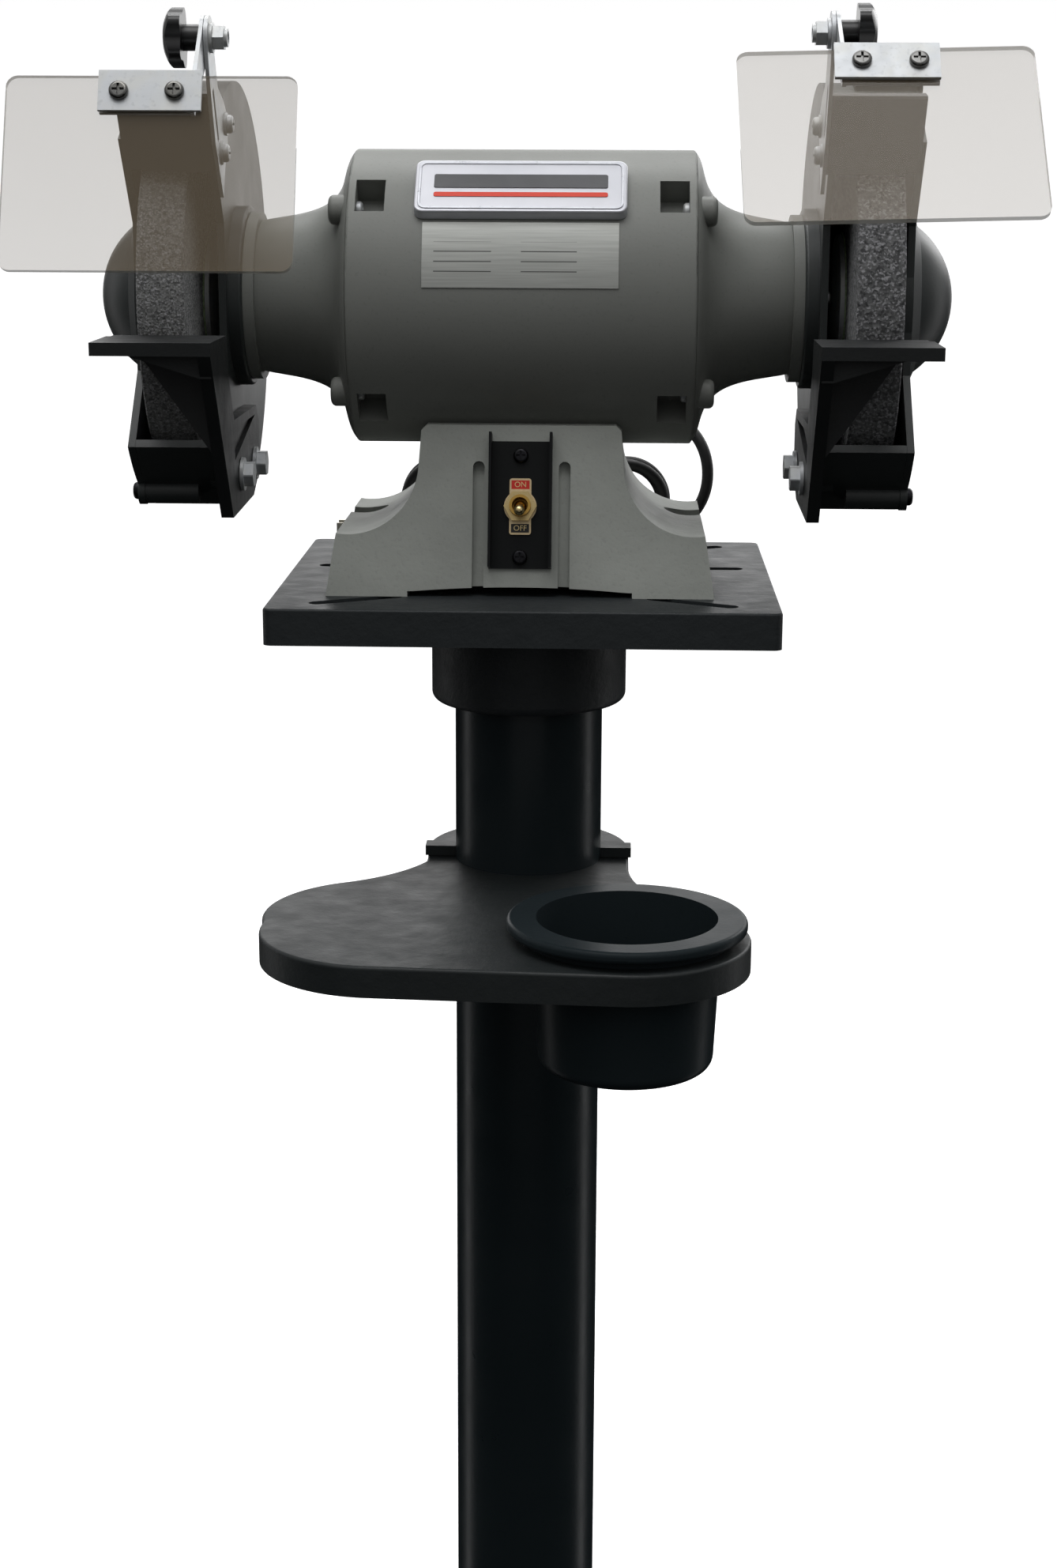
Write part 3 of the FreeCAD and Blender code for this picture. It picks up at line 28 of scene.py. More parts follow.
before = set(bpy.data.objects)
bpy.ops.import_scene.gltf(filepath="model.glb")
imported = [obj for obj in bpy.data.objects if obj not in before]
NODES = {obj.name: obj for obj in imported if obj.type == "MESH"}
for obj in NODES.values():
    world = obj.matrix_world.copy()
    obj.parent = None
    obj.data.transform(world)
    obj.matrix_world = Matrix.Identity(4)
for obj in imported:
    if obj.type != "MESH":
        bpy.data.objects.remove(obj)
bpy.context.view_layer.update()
MM = 0.001
TOP = 0.813                    # the platform's top
GRINDER_X = -0.0028            # middle of the motor
AXIS_Z = 0.971                 # arbor axis
BADGE_X = GRINDER_X - 0.0007   # middle of the badge
BADGE_ANGLE = math.radians(47)
BADGE_REACH = 0.0857           # arbor axis to the badge's face
FACE_LEAN = math.radians(14.62)
FACE_FOOT = (GRINDER_X, -0.084, TOP)   # bottom middle of the base's leaning front face
FACE_UP = (0, math.sin(FACE_LEAN), math.cos(FACE_LEAN))    # direction up along that face
FACE_IN = (0, math.cos(FACE_LEAN), -math.sin(FACE_LEAN))   # direction into the base
CASE_DEPTH = 0.0027            # behind the front face, where the switch's black case starts
STUD_END = 0.1633              # motor's middle to the end of each knob's steel stud
BLADE_START = -0.1041          # X where the plug's body ends and its blades start
SHIELD_LEAN_LEFT = math.radians(23)
SHIELD_LEAN_RIGHT = math.radians(38)
COLOR_EDGE = 0.0001            # half the width over which one colour gives way to the next

CAMERA_PLACE = (0.0463, -1.4554, 1.0525)
CAMERA_PAN = math.radians(1.822)
CAMERA_TILT = math.radians(75.877)
CAMERA_ROLL = math.radians(0.234)
CAMERA_LENS = 57.9

CORD_D = 0.0072
# Route of the cord in millimetres, its height from the platform's top: gland to hank, hank to plug.
LEAD = [
    (10, 91, 62), (11, 110, 62.5), (18, 130, 64.5), (33, 146, 69), (55, 153, 75), (79, 149, 78),
    (98, 139, 70), (108, 130, 52), (107, 125, 29), (93, 122.5, 10.5), (71, 123.7, 4.4), (48, 124, 4.4),
]
TAIL = [
    (40, 101.4, 4.4), (10, 99.5, 4.0), (-12, 93.0, 4.6),
    (-32, 88.9, 6.4), (-50, 87.1, 9.0), (-66, 86.8, 10.5),
]
HANK_TURNS = [(57.0, 23.4), (55.5, 23.0), (56.5, 23.3)]   # half straight run, bend radius
HANK_STEP = 30                 # degrees between the points of a bend
LANE_0, LANE_STEP = 124.0, 7.4   # Y of the first turn, and from one turn to the next
LANE_POINTS = 9                # points over which a turn moves across to its lane
REST_Z = 4.4                   # centre of the cord where it lies on the platform, over the tie

LIGHTS = [                     # name, place, target, size and watts
    ("key", (-0.2, -0.6, 2.5), (0, 0, 0.95), (1.5, 0.9), 12),
    ("fill", (1.8, -1.5, 1.4), (0, 0, 0.9), (1.0, 1.4), 0.8),
    ("front_low", (0, -2.2, 0.3), (0, 0, 0.6), (2.0, 0.8), 1.0),
    ("top_back", (0, 0.9, 2.3), (0, 0, 0.95), (1.6, 0.6), 12),
    ("back", (0, 2.0, 1.25), (0, 0, 0.85), (2.6, 1.0), 13),
    ("back_right", (1.3, 1.5, 1.7), (0, 0, 0.95), (0.8, 0.8), 8),
    ("rim_left", (-1.4, 0.5, 0.2), (0, 0, 0.2), (0.3, 2.4), 2.4),
    ("rim_right", (1.4, 0.5, 0.2), (0, 0, 0.2), (0.3, 2.4), 3.0),
]


# ---- camera ---------------------------------------------------------------------------------
def make_camera():
    data = bpy.data.cameras.new("camera")
    data.lens = CAMERA_LENS
    data.clip_end = 60
    camera = bpy.data.objects.new("camera", data)
    bpy.context.scene.collection.objects.link(camera)
    turn = Matrix.Rotation(CAMERA_PAN, 4, "Z") @ Matrix.Rotation(CAMERA_TILT, 4, "X")
    roll = Matrix.Rotation(CAMERA_ROLL, 4, "Z")
    camera.matrix_world = Matrix.Translation(CAMERA_PLACE) @ turn @ roll
    bpy.context.scene.camera = camera


# ---- materials ------------------------------------------------------------------------------
def rgb(r, g, b):
    """Display colour 0-255 to linear."""
    def channel(c):
        c /= 255
        return c / 12.92 if c <= 0.04045 else ((c + 0.055) / 1.055) ** 2.4
    return (channel(r), channel(g), channel(b), 1.0)


class Shader:
    """A procedural material on object coordinates; plain values sit on the shader's own sockets."""

    def __init__(self, name, color, roughness, metallic=0.0, **values):
        self.material = bpy.data.materials.new(name)
        self.material.use_nodes = True
        self.tree = self.material.node_tree
        self.bsdf = self.tree.nodes["Principled BSDF"]
        self.point = self.tree.nodes.new("ShaderNodeTexCoord").outputs["Object"]
        self.bsdf.inputs["Base Color"].default_value = color
        self.bsdf.inputs["Roughness"].default_value = roughness
        self.bsdf.inputs["Metallic"].default_value = metallic
        for key, value in values.items():
            self.bsdf.inputs[key.replace("_", " ")].default_value = value

    def feed(self, socket, value):
        if isinstance(value, bpy.types.NodeSocket):
            self.tree.links.new(value, socket)
        else:
            socket.default_value = value

    def stretched(self, x, y, z):
        mapping = self.tree.nodes.new("ShaderNodeMapping")
        self.feed(mapping.inputs["Vector"], self.point)
        mapping.inputs["Scale"].default_value = (x, y, z)
        return mapping.outputs["Vector"]

    def noise(self, scale, detail=3.0, vector=None, distortion=0.0):
        node = self.tree.nodes.new("ShaderNodeTexNoise")
        self.feed(node.inputs["Vector"], vector or self.point)
        node.inputs["Scale"].default_value = scale
        node.inputs["Detail"].default_value = detail
        node.inputs["Distortion"].default_value = distortion
        return node.outputs["Fac"]

    def cells(self, scale, output="Distance"):
        node = self.tree.nodes.new("ShaderNodeTexVoronoi")
        self.feed(node.inputs["Vector"], self.point)
        node.inputs["Scale"].default_value = scale
        return node.outputs[output]

    def grey(self, color):
        node = self.tree.nodes.new("ShaderNodeSeparateColor")
        self.feed(node.inputs["Color"], color)
        return node.outputs["Red"]

    def levels(self, value, low, high, start=0.0, end=1.0):
        node = self.tree.nodes.new("ShaderNodeMapRange")
        self.feed(node.inputs["Value"], value)
        node.inputs["From Min"].default_value = low
        node.inputs["From Max"].default_value = high
        node.inputs["To Min"].default_value = start
        node.inputs["To Max"].default_value = end
        return node.outputs["Result"]

    def math(self, operation, a, b=0.0):
        node = self.tree.nodes.new("ShaderNodeMath")
        node.operation = operation
        self.feed(node.inputs[0], a)
        self.feed(node.inputs[1], b)
        return node.outputs["Value"]

    def along(self, direction, start=(0, 0, 0)):
        """Distance of the surface point from `start` along a direction."""
        node = self.tree.nodes.new("ShaderNodeVectorMath")
        node.operation = "DOT_PRODUCT"
        self.feed(node.inputs[0], self.point)
        node.inputs[1].default_value = direction
        return self.math("SUBTRACT", node.outputs["Value"], Vector(direction).dot(Vector(start)))

    def between(self, value, low, high, soft=0.00008):
        rising = self.levels(value, low - soft, low + soft)
        falling = self.levels(value, high - soft, high + soft, 1.0, 0.0)
        return self.math("MULTIPLY", rising, falling)

    def below(self, value, limit):
        """1 where a distance is below a limit, and 0 above it."""
        return self.levels(value, limit - COLOR_EDGE, limit + COLOR_EDGE, 1.0, 0.0)

    def tint(self, factor, color):
        """Blend the colour so far with another one by a factor."""
        node = self.tree.nodes.new("ShaderNodeMix")
        node.data_type = "RGBA"
        base = self.bsdf.inputs["Base Color"]
        if base.is_linked:
            self.tree.links.new(base.links[0].from_socket, node.inputs[6])
        else:
            node.inputs[6].default_value = base.default_value
        self.feed(node.inputs[0], factor)
        node.inputs[7].default_value = color
        self.tree.links.new(node.outputs[2], base)
        return self

    def vary(self, socket, factor, low, high):
        """Let one of the shader's values run from low to high with a factor."""
        self.tree.links.new(self.levels(factor, 0.0, 1.0, low, high), self.bsdf.inputs[socket])
        return self

    def bump(self, height, strength, distance):
        node = self.tree.nodes.new("ShaderNodeBump")
        node.inputs["Strength"].default_value = strength
        node.inputs["Distance"].default_value = distance
        self.feed(node.inputs["Height"], height)
        normal = self.bsdf.inputs["Normal"]
        if normal.is_linked:
            self.tree.links.new(normal.links[0].from_socket, node.inputs["Normal"])
        self.tree.links.new(node.outputs["Normal"], normal)
        return self


def toned(color, factor):
    """The colour times a factor: darker below 1, paler above it."""
    return (color[0] * factor, color[1] * factor, color[2] * factor, 1.0)


def cast_paint(name, color, roughness, grain, depth):
    """Paint over a sand casting: fine pebbled grain, soft mottling and a few pits."""
    s = Shader(name, color, roughness, Specular_IOR_Level=0.32)
    s.tint(s.levels(s.noise(14, 4), 0.35, 0.7), toned(color, 1.25))
    s.tint(s.levels(s.noise(grain, 3), 0.42, 0.30, 0.0, 0.3), toned(color, 0.82))
    s.vary("Roughness", s.noise(60, 3), roughness - 0.12, roughness + 0.14)
    s.bump(s.noise(grain, 4), 0.5, depth)
    s.bump(s.levels(s.noise(grain * 0.16, 2), 0.25, 0.75), 0.35, depth * 2.5)
    return s.material


def smooth_paint(name, color, roughness, gloss=0.5):
    """Sprayed paint: faint orange peel and slight tone changes."""
    s = Shader(name, color, roughness, Specular_IOR_Level=gloss)
    s.tint(s.levels(s.noise(9, 3), 0.4, 0.75), toned(color, 1.16))
    s.tint(s.levels(s.noise(620, 2), 0.60, 0.78, 0.0, 0.5), toned(color, 0.75))
    s.vary("Roughness", s.noise(45, 3), roughness - 0.07, roughness + 0.09)
    s.bump(s.noise(420, 2), 0.22, 0.00022)
    return s.material


def plated(name, color, roughness, warm, metallic=1.0):
    """Zinc or nickel plate: cloudy tone, fine rolled lines and a little handling wear."""
    s = Shader(name, color, roughness, metallic)
    s.tint(s.levels(s.noise(70, 4, distortion=0.6), 0.42, 0.72, 0.0, 0.55), warm)
    s.tint(s.levels(s.noise(380, 3), 0.30, 0.42, 0.4, 0.0), toned(color, 0.72))
    s.vary("Roughness", s.noise(150, 4), roughness - 0.1, roughness + 0.16)
    s.bump(s.noise(900, 2, s.stretched(0.12, 1, 1)), 0.25, 0.00008)
    return s.material


def turned_steel(name, color, roughness):
    """Machined round steel: rings along the arbor direction."""
    s = Shader(name, color, roughness, 1.0)
    s.tint(s.levels(s.noise(500, 3, s.stretched(1, 0.02, 0.02)), 0.4, 0.7, 0.0, 0.5), toned(color, 0.6))
    s.bump(s.noise(1500, 2, s.stretched(1, 0.01, 0.01)), 0.3, 0.0001)
    return s.material


def abrasive(name, grains, pale, dark, binder):
    """Bonded grit: random grain tones, a few bright grains and open pores between."""
    s = Shader(name, pale, 0.85, Specular_IOR_Level=0.35)
    s.tint(s.levels(s.grey(s.cells(grains, "Color")), 0.25, 0.85), dark)
    s.tint(s.levels(s.grey(s.cells(grains * 1.9, "Color")), 0.72, 0.80, 0.0, 0.85), rgb(176, 176, 180))
    s.tint(s.levels(s.noise(grains * 0.7, 4), 0.46, 0.38, 0.0, 0.8), binder)
    s.tint(s.levels(s.noise(16, 3), 0.4, 0.7, 0.0, 0.35), toned(pale, 1.3))
    s.bump(s.cells(grains), 0.75, 0.0005)
    s.bump(s.noise(grains * 1.5, 3), 0.5, 0.0004)
    return s.material


def plastic(name, color, roughness):
    """Moulded plastic with a fine grain and a cloudy tone."""
    s = Shader(name, color, roughness)
    s.tint(s.levels(s.noise(30, 3), 0.4, 0.75, 0.0, 0.6), toned(color, 1.7))
    s.vary("Roughness", s.noise(90, 3), roughness - 0.08, roughness + 0.1)
    s.bump(s.noise(700, 3), 0.3, 0.00012)
    return s.material


def knob_plastic():
    """Black grip with its steel stud on the motor side."""
    s = Shader("knob", rgb(16, 16, 17), 0.32)
    s.tint(s.levels(s.noise(60, 3), 0.4, 0.7, 0.0, 0.5), rgb(34, 34, 36))
    side = s.math("ABSOLUTE", s.along((1, 0, 0), (GRINDER_X, 0, 0)))
    stud = s.below(side, STUD_END)
    s.tint(stud, rgb(196, 199, 202))
    s.tree.links.new(stud, s.bsdf.inputs["Metallic"])
    s.bump(s.noise(500, 3), 0.25, 0.0001)
    return s.material


def clear_sheet(name, lean):
    """Clear shield with a faint warm tint, brighter at its cut edges and lightly scratched."""
    s = Shader(name, rgb(134, 119, 97), 0.06, IOR=1.49, Coat_Weight=0.3, Coat_Roughness=0.03)
    normal = s.tree.nodes.new("ShaderNodeTexCoord").outputs["Normal"]
    face = s.tree.nodes.new("ShaderNodeVectorMath")
    face.operation = "DOT_PRODUCT"
    s.feed(face.inputs[0], normal)
    face.inputs[1].default_value = (0, math.cos(lean), -math.sin(lean))
    edge = s.levels(s.math("ABSOLUTE", face.outputs["Value"]), 0.55, 0.9, 1.0, 0.0)
    s.tint(s.levels(s.noise(12, 3), 0.3, 0.8, 0.0, 0.4), rgb(145, 131, 108))
    s.tint(edge, rgb(225, 228, 222))
    s.vary("Alpha", edge, 0.27, 0.70)
    scratch = s.levels(s.noise(320, 4, s.stretched(1, 0.06, 0.06)), 0.56, 0.75)
    s.vary("Roughness", scratch, 0.05, 0.08)
    return s.material


def badge_plate():
    """Satin silver plate with a fine grain."""
    s = Shader("badge", rgb(205, 206, 212), 0.34, 0.55)
    s.tint(s.levels(s.noise(26, 3), 0.4, 0.75, 0.0, 0.5), rgb(188, 190, 197))
    s.vary("Roughness", s.noise(300, 3), 0.28, 0.44)
    s.bump(s.noise(1200, 2, s.stretched(0.1, 1, 1)), 0.2, 0.00006)
    return s.material


def data_label():
    """Brushed metal label with blank ruled fields in two columns."""
    s = Shader("label", rgb(176, 178, 174), 0.44, 0.25)
    s.tint(s.levels(s.noise(900, 3, s.stretched(0.03, 1, 1)), 0.35, 0.7, 0.0, 0.6), rgb(150, 152, 148))
    across = s.along((1, 0, 0), (GRINDER_X, 0, 0))
    height = s.along((0, 0, 1), (0, 0, AXIS_Z))
    row_height = 0.0052
    rows = s.math("FRACT", s.math("DIVIDE", height, row_height))
    rules = s.between(rows, 0.42, 0.52, 0.02)
    left = s.between(across, -0.047, -0.016)
    right = s.between(across, 0.0, 0.030)
    inside = s.between(height, 0.0135, 0.0335)
    ruled = s.math("MULTIPLY", s.math("MULTIPLY", rules, s.math("ADD", left, right)), inside)
    s.tint(ruled, rgb(70, 70, 68))
    s.bump(s.noise(1600, 2, s.stretched(0.02, 1, 1)), 0.25, 0.00006)
    return s.material


def legend_plate():
    """Brass plate with a red upper tab and a black lower tab."""
    s = Shader("legend", rgb(222, 200, 160), 0.34, 0.5)
    up = s.along(FACE_UP, FACE_FOOT)
    field = s.between(s.along((1, 0, 0), (GRINDER_X, 0, 0)), -0.0050, 0.0050)
    red = s.math("MULTIPLY", s.between(up, 0.0596, 0.0644), field)
    black = s.math("MULTIPLY", s.between(up, 0.0356, 0.0404), field)
    s.tint(s.levels(s.noise(700, 3), 0.4, 0.7, 0.0, 0.35), rgb(196, 168, 120))
    s.tint(red, rgb(200, 38, 26))
    s.tint(black, rgb(22, 20, 18))
    s.vary("Metallic", s.math("ADD", red, black), 0.5, 0.0)
    return s.material


def switch_case():
    """Black moulded case behind the front face, with a brass bushing through it."""
    s = Shader("switch_case", rgb(24, 24, 25), 0.45)
    brass = s.below(s.along(FACE_IN, FACE_FOOT), CASE_DEPTH)
    s.tint(brass, rgb(196, 158, 84))
    s.tree.links.new(brass, s.bsdf.inputs["Metallic"])
    s.bump(s.noise(900, 3), 0.2, 0.0001)
    return s.material


def plug_body():
    """Black moulded plug; nickel blades and pin."""
    s = Shader("plug", rgb(22, 22, 23), 0.5)
    blade = s.below(s.along((1, 0, 0)), BLADE_START)
    s.tint(s.levels(s.noise(80, 3), 0.4, 0.7, 0.0, 0.6), rgb(40, 40, 42))
    s.tint(blade, rgb(226, 222, 210))
    s.tree.links.new(blade, s.bsdf.inputs["Metallic"])
    s.bump(s.noise(600, 3), 0.3, 0.0001)
    return s.material


def copper_wire():
    """Lacquered copper turns that lie along X."""
    s = Shader("winding", rgb(176, 104, 62), 0.3, 0.8, Coat_Weight=0.4, Coat_Roughness=0.15)
    s.tint(s.levels(s.noise(1400, 2, s.stretched(1, 0.05, 0.05)), 0.4, 0.62), rgb(96, 46, 22))
    s.bump(s.noise(1400, 2, s.stretched(1, 0.05, 0.05)), 0.6, 0.0004)
    return s.material


def laminated_steel():
    """Thin steel sheets stacked along X, with a little rust bloom."""
    s = Shader("lamination", rgb(120, 121, 124), 0.45, 0.9)
    sheet_thickness = 0.0006
    sheets = s.math("FRACT", s.math("DIVIDE", s.along((1, 0, 0)), sheet_thickness))
    s.tint(s.levels(sheets, 0.7, 0.9), rgb(48, 48, 50))
    s.bump(sheets, 0.4, 0.0001)
    s.tint(s.levels(s.noise(200, 3), 0.5, 0.75, 0.0, 0.4), rgb(92, 84, 74))
    return s.material


def paper_disc():
    """Blotting paper between a wheel and its flanges."""
    s = Shader("blotter", rgb(150, 168, 132), 0.85)
    s.tint(s.levels(s.noise(500, 5), 0.4, 0.7), rgb(118, 136, 104))
    s.bump(s.noise(1200, 3), 0.4, 0.0001)
    return s.material


def rubber(name, color):
    """Matt rubber or vinyl with slight handling shine."""
    s = Shader(name, color, 0.52)
    s.tint(s.levels(s.noise(120, 3), 0.45, 0.75, 0.0, 0.7), toned(color, 1.9))
    s.vary("Roughness", s.noise(260, 3), 0.42, 0.64)
    s.bump(s.noise(1500, 2), 0.25, 0.0001)
    return s.material


def red_enamel():
    """Glossy printed red."""
    s = Shader("red_enamel", rgb(222, 58, 30), 0.28, Coat_Weight=0.3, Coat_Roughness=0.1)
    s.tint(s.levels(s.noise(40, 3), 0.4, 0.75, 0.0, 0.5), rgb(205, 46, 22))
    s.bump(s.noise(900, 2), 0.1, 0.00006)
    return s.material


def woven_tie():
    """Black fabric band with a coarse weave."""
    s = Shader("tie", rgb(26, 26, 28), 0.8)
    s.tint(s.levels(s.noise(900, 2, s.stretched(1, 0.2, 0.2)), 0.45, 0.6), rgb(46, 46, 50))
    s.bump(s.noise(1200, 3), 0.6, 0.0002)
    return s.material


# ---- pieces ---------------------------------------------------------------------------------
def add_piece(name, data, material):
    """Put a mesh or curve in the scene; all of the pieces made here sit on the fixed stand."""
    piece = bpy.data.objects.new(name, data)
    bpy.context.scene.collection.objects.link(piece)
    data.materials.append(material)
    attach(piece, "stand")
    return piece


def face_frame():
    """Placement of the base's leaning front face: +Z up along it, -Y out of it."""
    return Matrix.Translation(FACE_FOOT) @ Matrix.Rotation(-FACE_LEAN, 4, "X")


def badge_frame():
    """Placement with +Z out of the badge's face, +X along it and the origin at its middle."""
    out = Vector((0, -math.cos(BADGE_ANGLE), math.sin(BADGE_ANGLE)))
    middle = Vector((BADGE_X, 0, AXIS_Z)) + out * BADGE_REACH
    return Matrix.Translation(middle) @ Matrix.Rotation(math.pi / 2 - BADGE_ANGLE, 4, "X")


def rounded_outline(half_x, half_y, radius):
    """Points of a rectangle with round corners, centred on the origin."""
    steps = 6
    points = []
    for i, (sx, sy) in enumerate(((1, 1), (-1, 1), (-1, -1), (1, -1))):
        for k in range(steps + 1):
            a = math.pi / 2 * (i + k / steps)
            points.append((sx * (half_x - radius) + radius * math.cos(a),
                           sy * (half_y - radius) + radius * math.sin(a)))
    return points


def slab(name, outline, low, high, edge, inner=None):
    """Flat piece with a softened upper edge; with an inner outline it is a frame."""
    mesh = bpy.data.meshes.new(name)
    bm = bmesh.new()
    count = len(outline)
    centre = (sum(p[0] for p in outline) / count, sum(p[1] for p in outline) / count)

    def ring(points, z, inset):
        verts = []
        for x, y in points:
            reach = math.hypot(x - centre[0], y - centre[1])
            k = 1 - inset / reach
            spot = (centre[0] + (x - centre[0]) * k, centre[1] + (y - centre[1]) * k, z)
            verts.append(bm.verts.new(spot))
        return verts

    rings = [ring(outline, low, 0), ring(outline, high - edge, 0), ring(outline, high, edge)]
    if inner:
        rings += [ring(inner, high, -edge), ring(inner, high - edge, 0), ring(inner, low, 0)]
        rings.append(rings[0])
    for a, b in zip(rings, rings[1:]):
        for i in range(count):
            j = (i + 1) % count
            bm.faces.new((a[i], a[j], b[j], b[i]))
    if not inner:
        bm.faces.new(rings[-1])
        bm.faces.new(list(reversed(rings[0])))
    bmesh.ops.recalc_face_normals(bm, faces=bm.faces)
    bm.to_mesh(mesh)
    bm.free()
    return mesh


def badge_stripe(name, height, half_width, material):
    """Plain stripe along the badge, at a height above or below its middle."""
    stripe = slab(name, rounded_outline(0.0470, half_width, 0.0010), -0.0004, 0.0004, 0.0002)
    stripe.transform(badge_frame() @ Matrix.Translation((0, height, 0)))
    add_piece(name, stripe, material)


def make_badge_trim():
    """A wide grey stripe, a thin red one below it and a raised border on the badge."""
    badge_stripe("badge_stripe_grey", 0.0030, 0.0050, plastic("grey_enamel", rgb(70, 71, 74), 0.35))
    badge_stripe("badge_stripe_red", -0.0070, 0.0016, red_enamel())
    border = slab("badge_border", rounded_outline(0.0555, 0.0176, 0.0042), -0.0004, 0.0005, 0.0002,
                  rounded_outline(0.0540, 0.0161, 0.0030))
    border.transform(badge_frame())
    silver = plated("badge_border", rgb(206, 208, 214), 0.28, rgb(190, 192, 200))
    add_piece("badge_border", border, silver)


def make_legend_text():
    """ON above and OFF below the toggle."""
    for word, height in (("ON", 0.062), ("OFF", 0.038)):
        name = word.lower()
        text = bpy.data.curves.new("legend_" + name, "FONT")
        text.body = word
        text.size = 0.0042
        text.align_x = "CENTER"
        text.align_y = "CENTER"
        text.extrude = 0.00012
        brass = plated("legend_letters_" + name, rgb(230, 205, 150), 0.3, rgb(214, 184, 124), 0.4)
        piece = add_piece("legend_" + name, text, brass)
        upright = Matrix.Rotation(math.pi / 2, 4, "X")
        piece.matrix_world = face_frame() @ Matrix.Translation((0, -0.0026, height)) @ upright


# ---- cord -----------------------------------------------------------------------------------
def hank_turn(index):
    """Points of one upright turn: bottom to the left, up, top to the right, down."""
    half, bend = HANK_TURNS[index]
    middle = REST_Z + bend
    reach = bend / math.cos(math.radians(HANK_STEP / 2))

    def end(x, start):
        angles = [math.radians(start - HANK_STEP * step) for step in range(8)]
        return [(x + reach * math.cos(a), middle + reach * math.sin(a)) for a in angles]

    points = [(28, REST_Z), (-4, REST_Z)] + end(-half, 285) + [(0, middle + bend)] + end(half, 105)
    turn = []
    for k, (x, z) in enumerate(points):
        lane = LANE_0 - LANE_STEP * (index + min(1.0, k / LANE_POINTS))
        turn.append((x, lane, z))
    return turn


def make_cord():
    """The whole supply cord as one curve, from the gland to the plug."""
    points = list(LEAD)
    for index in range(len(HANK_TURNS)):
        points += hank_turn(index)
    points += TAIL
    curve = bpy.data.curves.new("supply_cord", "CURVE")
    curve.dimensions = "3D"
    spline = curve.splines.new("NURBS")
    spline.points.add(len(points) - 1)
    for spot, (x, y, z) in zip(spline.points, points):
        spot.co = (x * MM, y * MM, TOP + z * MM, 1.0)
    spline.order_u = 3
    spline.use_endpoint_u = True
    spline.resolution_u = 8
    curve.bevel_depth = CORD_D / 2
    curve.bevel_resolution = 5
    curve.use_fill_caps = True
    cord = add_piece("supply_cord", curve, rubber("cord_jacket", rgb(24, 24, 25)))
    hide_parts("cord", "cord_hank")
    make_tie()


def make_tie():
    """Woven band round the middle of the hank."""
    outline = rounded_outline(0.0152, 0.0272, 0.0032)
    inner = rounded_outline(0.0144, 0.0264, 0.0026)
    band = slab("hank_tie", outline, -0.0045, 0.0045, 0.0001, inner)
    turn = Matrix.Rotation(math.pi / 2, 4, "Z") @ Matrix.Rotation(math.pi / 2, 4, "X")
    band.transform(Matrix.Translation((-0.002, 0.1130, TOP + 0.0277)) @ turn)
    return add_piece("hank_tie", band, woven_tie())


# ---- finishes of the CAD pieces -------------------------------------------------------------
def paint(material, *names):
    """Give the named CAD nodes a material in place of their plain ones."""
    for name in names:
        slots = NODES[name].data.materials
        slots.clear()
        slots.append(material)


def soften(width, *names):
    """Small radius on the sharp edges, for the highlight they catch."""
    for name in names:
        bevel = NODES[name].modifiers.new("edge", "BEVEL")
        bevel.width = width
        bevel.segments = 2
        bevel.limit_method = "ANGLE"
        bevel.angle_limit = math.radians(50)
        bevel.harden_normals = True


def sides(*names):
    """The left and right nodes of each name."""
    return [name + side for name in names for side in ("_left", "_right")]


def paint_stand():
    paint(cast_paint("stand_casting", rgb(39, 43, 45), 0.50, 620, 0.00028), "platform", "stand_base")
    paint(smooth_paint("post_gloss", rgb(30, 37, 40), 0.30, 0.24), "post")
    paint(cast_paint("tray_casting", rgb(34, 38, 39), 0.48, 800, 0.00016), "tool_tray", "tray_clamp")
    paint(smooth_paint("pot_gloss", rgb(34, 41, 44), 0.34, 0.06), "water_pot")


def paint_housings():
    paint(cast_paint("base_wrinkle", rgb(148, 151, 146), 0.58, 520, 0.00028), "motor_base")
    paint(smooth_paint("motor_paint", rgb(123, 125, 121), 0.46, 0.34), "motor_shell", *sides("end_bell"))
    paint(smooth_paint("guard_paint", rgb(48, 52, 52), 0.42), *sides("guard_inner", "guard_cover"))
    paint(cast_paint("rest_paint", rgb(35, 37, 38), 0.46, 700, 0.00016), *sides("tool_rest"))
    # The spark arrestor is zinc plate like the shield bracket; its flat dark grey is painted shade and
    # painted reflection, standing in for the dark surroundings that the plate reflects.
    paint(smooth_paint("arrestor_painted_shade", rgb(62, 63, 64), 0.40), *sides("spark_arrestor"))


def paint_hardware():
    """Plated and blackened bolts, screws, nuts and brackets."""
    zinc = plated("zinc", rgb(198, 201, 204), 0.46, rgb(200, 199, 192), 0.6)
    paint(zinc, "base_bolts", "bottom_cover", "tray_clamp_bolts", "wheel_flanges", "arbor_nuts",
          "tool_rest_bolts", "bracket_screws", "pivot_nuts", "end_bell_screws",
          *sides("shield_bracket", "shield_arm"))
    black_steel = plated("black_oxide", rgb(38, 38, 40), 0.38, rgb(58, 58, 62))
    paint(black_steel, "base_screws", "guard_screws", "post_set_screws")
    nickel = plated("nickel_screw", rgb(112, 112, 111), 0.24, rgb(130, 127, 120))
    paint(nickel, *sides("shield_screws"))


def paint_inside():
    """Shaft, bearings, rotor, stator and capacitor."""
    paint(turned_steel("ground_steel", rgb(176, 177, 180), 0.26), "arbor_shaft", "bearings")
    paint(laminated_steel(), "stator_core", "rotor_core")
    paint(copper_wire(), "stator_windings")
    paint(plastic("capacitor_case", rgb(26, 26, 30), 0.35), "capacitor")


def paint_wheels():
    """Fine wheel on the left, coarse on the right, and their blotters."""
    fine = abrasive("fine_stone", 720, rgb(138, 139, 138), rgb(110, 111, 111), rgb(80, 81, 81))
    coarse = abrasive("coarse_stone", 520, rgb(126, 127, 128), rgb(94, 95, 96), rgb(64, 65, 66))
    paint(fine, "wheel_left")
    paint(coarse, "wheel_right")
    paint(paper_disc(), "wheel_blotters")


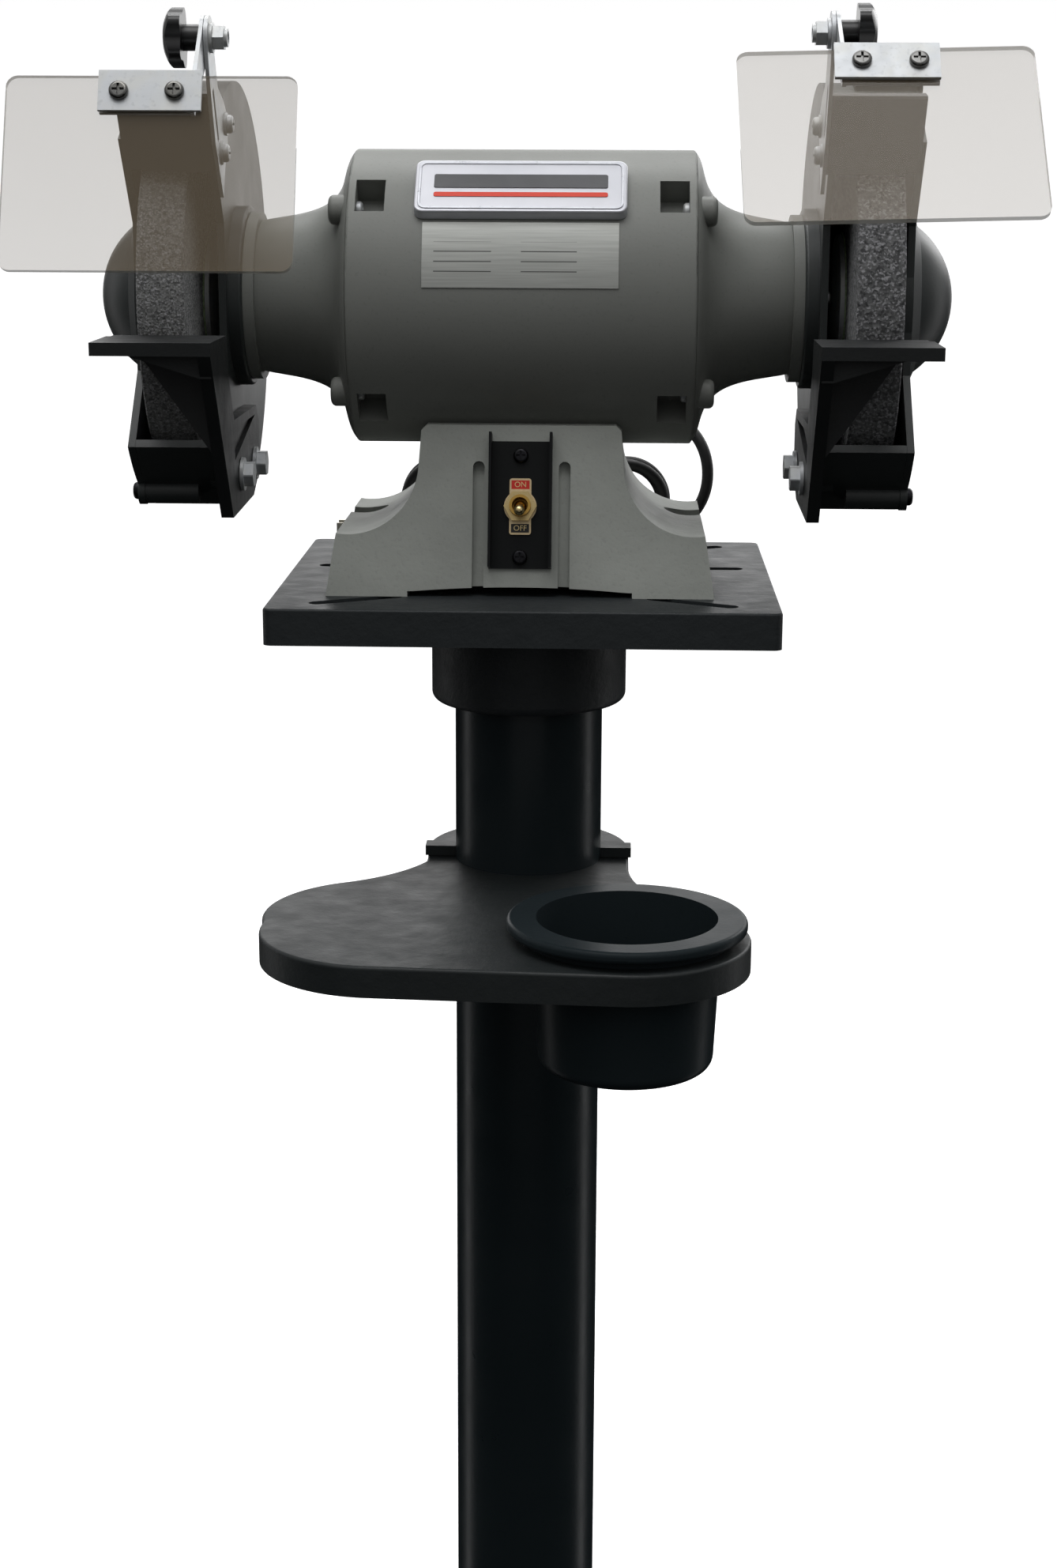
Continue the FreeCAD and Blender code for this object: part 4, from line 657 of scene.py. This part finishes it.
def paint_shields():
    paint(clear_sheet("shield_clear_left", SHIELD_LEAN_LEFT), "eye_shield_left")
    paint(clear_sheet("shield_clear_right", SHIELD_LEAN_RIGHT), "eye_shield_right")
    paint(knob_plastic(), *sides("clamp_knob"))


def paint_switch():
    """Channel, case, legend plate and the brass nut and lever."""
    paint(smooth_paint("switch_channel", rgb(18, 20, 21), 0.42, 0.15), "switch_plate")
    paint(switch_case(), "switch_body")
    paint(legend_plate(), "switch_legend")
    brass = plated("brass_nut", rgb(226, 204, 150), 0.24, rgb(206, 176, 116))
    paint(brass, "switch_nut", "switch_lever")


def paint_plates_and_cord_ends():
    paint(badge_plate(), "badge")
    paint(data_label(), "data_plate")
    paint(rubber("strain_bush", rgb(22, 22, 23)), "strain_relief")
    paint(plug_body(), "plug")


def soften_edges():
    """Cast pieces get the larger radius, sheet and turned pieces the smaller one."""
    soften(0.0006, "platform", "motor_base", "tool_tray", "tray_clamp", *sides("tool_rest"))
    soften(0.0004, "motor_shell", *sides("guard_cover", "spark_arrestor", "shield_arm", "shield_bracket"))


# ---- stage ----------------------------------------------------------------------------------
def bowl_mesh():
    """Round floor that curves up into a wall on every side."""
    floor, curve, wall_top = 9.0, 3.0, 9.0
    curve_steps, sectors = 12, 64
    profile = [(1.0, 0.0), (floor, 0.0)]
    for i in range(1, curve_steps + 1):
        a = math.pi / 2 * i / curve_steps
        profile.append((floor + curve * math.sin(a), curve - curve * math.cos(a)))
    profile.append((floor + curve, wall_top))
    mesh = bpy.data.meshes.new("backdrop")
    bm = bmesh.new()
    rings = []
    angles = [2 * math.pi * k / sectors for k in range(sectors)]
    for reach, z in profile:
        rings.append([bm.verts.new((reach * math.cos(a), reach * math.sin(a), z)) for a in angles])
    bm.faces.new(rings[0])
    for low, high in zip(rings, rings[1:]):
        for k in range(sectors):
            n = (k + 1) % sectors
            bm.faces.new((low[k], low[n], high[n], high[k])).smooth = True
    bmesh.ops.recalc_face_normals(bm, faces=bm.faces)
    bm.to_mesh(mesh)
    bm.free()
    return mesh


def make_backdrop():
    """Pale surroundings that throw no light back on the black paint."""
    mesh = bowl_mesh()
    backdrop = bpy.data.objects.new("backdrop", mesh)
    bpy.context.scene.collection.objects.link(backdrop)
    s = Shader("pale_floor", rgb(246, 246, 246), 0.9, Emission_Color=(1, 1, 1, 1), Emission_Strength=0.7)
    s.tint(s.levels(s.noise(3, 2), 0.4, 0.7, 0.0, 0.4), rgb(242, 242, 242))
    mesh.materials.append(s.material)
    backdrop.visible_diffuse = False
    backdrop.visible_glossy = False
    backdrop.visible_shadow = False


def area_light(name, place, target, size, power):
    """Rectangular softbox that the camera does not see."""
    data = bpy.data.lights.new(name, "AREA")
    data.shape = "RECTANGLE"
    data.size, data.size_y = size
    data.energy = power
    light = bpy.data.objects.new(name, data)
    bpy.context.scene.collection.objects.link(light)
    light.location = place
    light.visible_camera = False
    light.rotation_euler = (Vector(target) - Vector(place)).to_track_quat("-Z", "Y").to_euler()


def make_world():
    """White surroundings that fade from bright overhead to dark below the horizon."""
    world = bpy.data.worlds.new("studio")
    world.use_nodes = True
    background = world.node_tree.nodes["Background"]
    background.inputs["Color"].default_value = (1, 1, 1, 1)
    direction = world.node_tree.nodes.new("ShaderNodeTexCoord").outputs["Generated"]
    split = world.node_tree.nodes.new("ShaderNodeSeparateXYZ")
    height = world.node_tree.nodes.new("ShaderNodeMapRange")
    for name, value in (("From Min", -0.15), ("From Max", 0.85), ("To Min", 0.0), ("To Max", 0.68)):
        height.inputs[name].default_value = value
    world.node_tree.links.new(direction, split.inputs["Vector"])
    world.node_tree.links.new(split.outputs["Z"], height.inputs["Value"])
    world.node_tree.links.new(height.outputs["Result"], background.inputs["Strength"])
    bpy.context.scene.world = world
    bpy.context.scene.view_settings.view_transform = "Standard"


make_camera()
make_cord()
make_badge_trim()
make_legend_text()
paint_stand()
paint_housings()
paint_hardware()
paint_inside()
paint_wheels()
paint_shields()
paint_switch()
paint_plates_and_cord_ends()
soften_edges()
make_backdrop()
make_world()
for light in LIGHTS:
    area_light(*light)
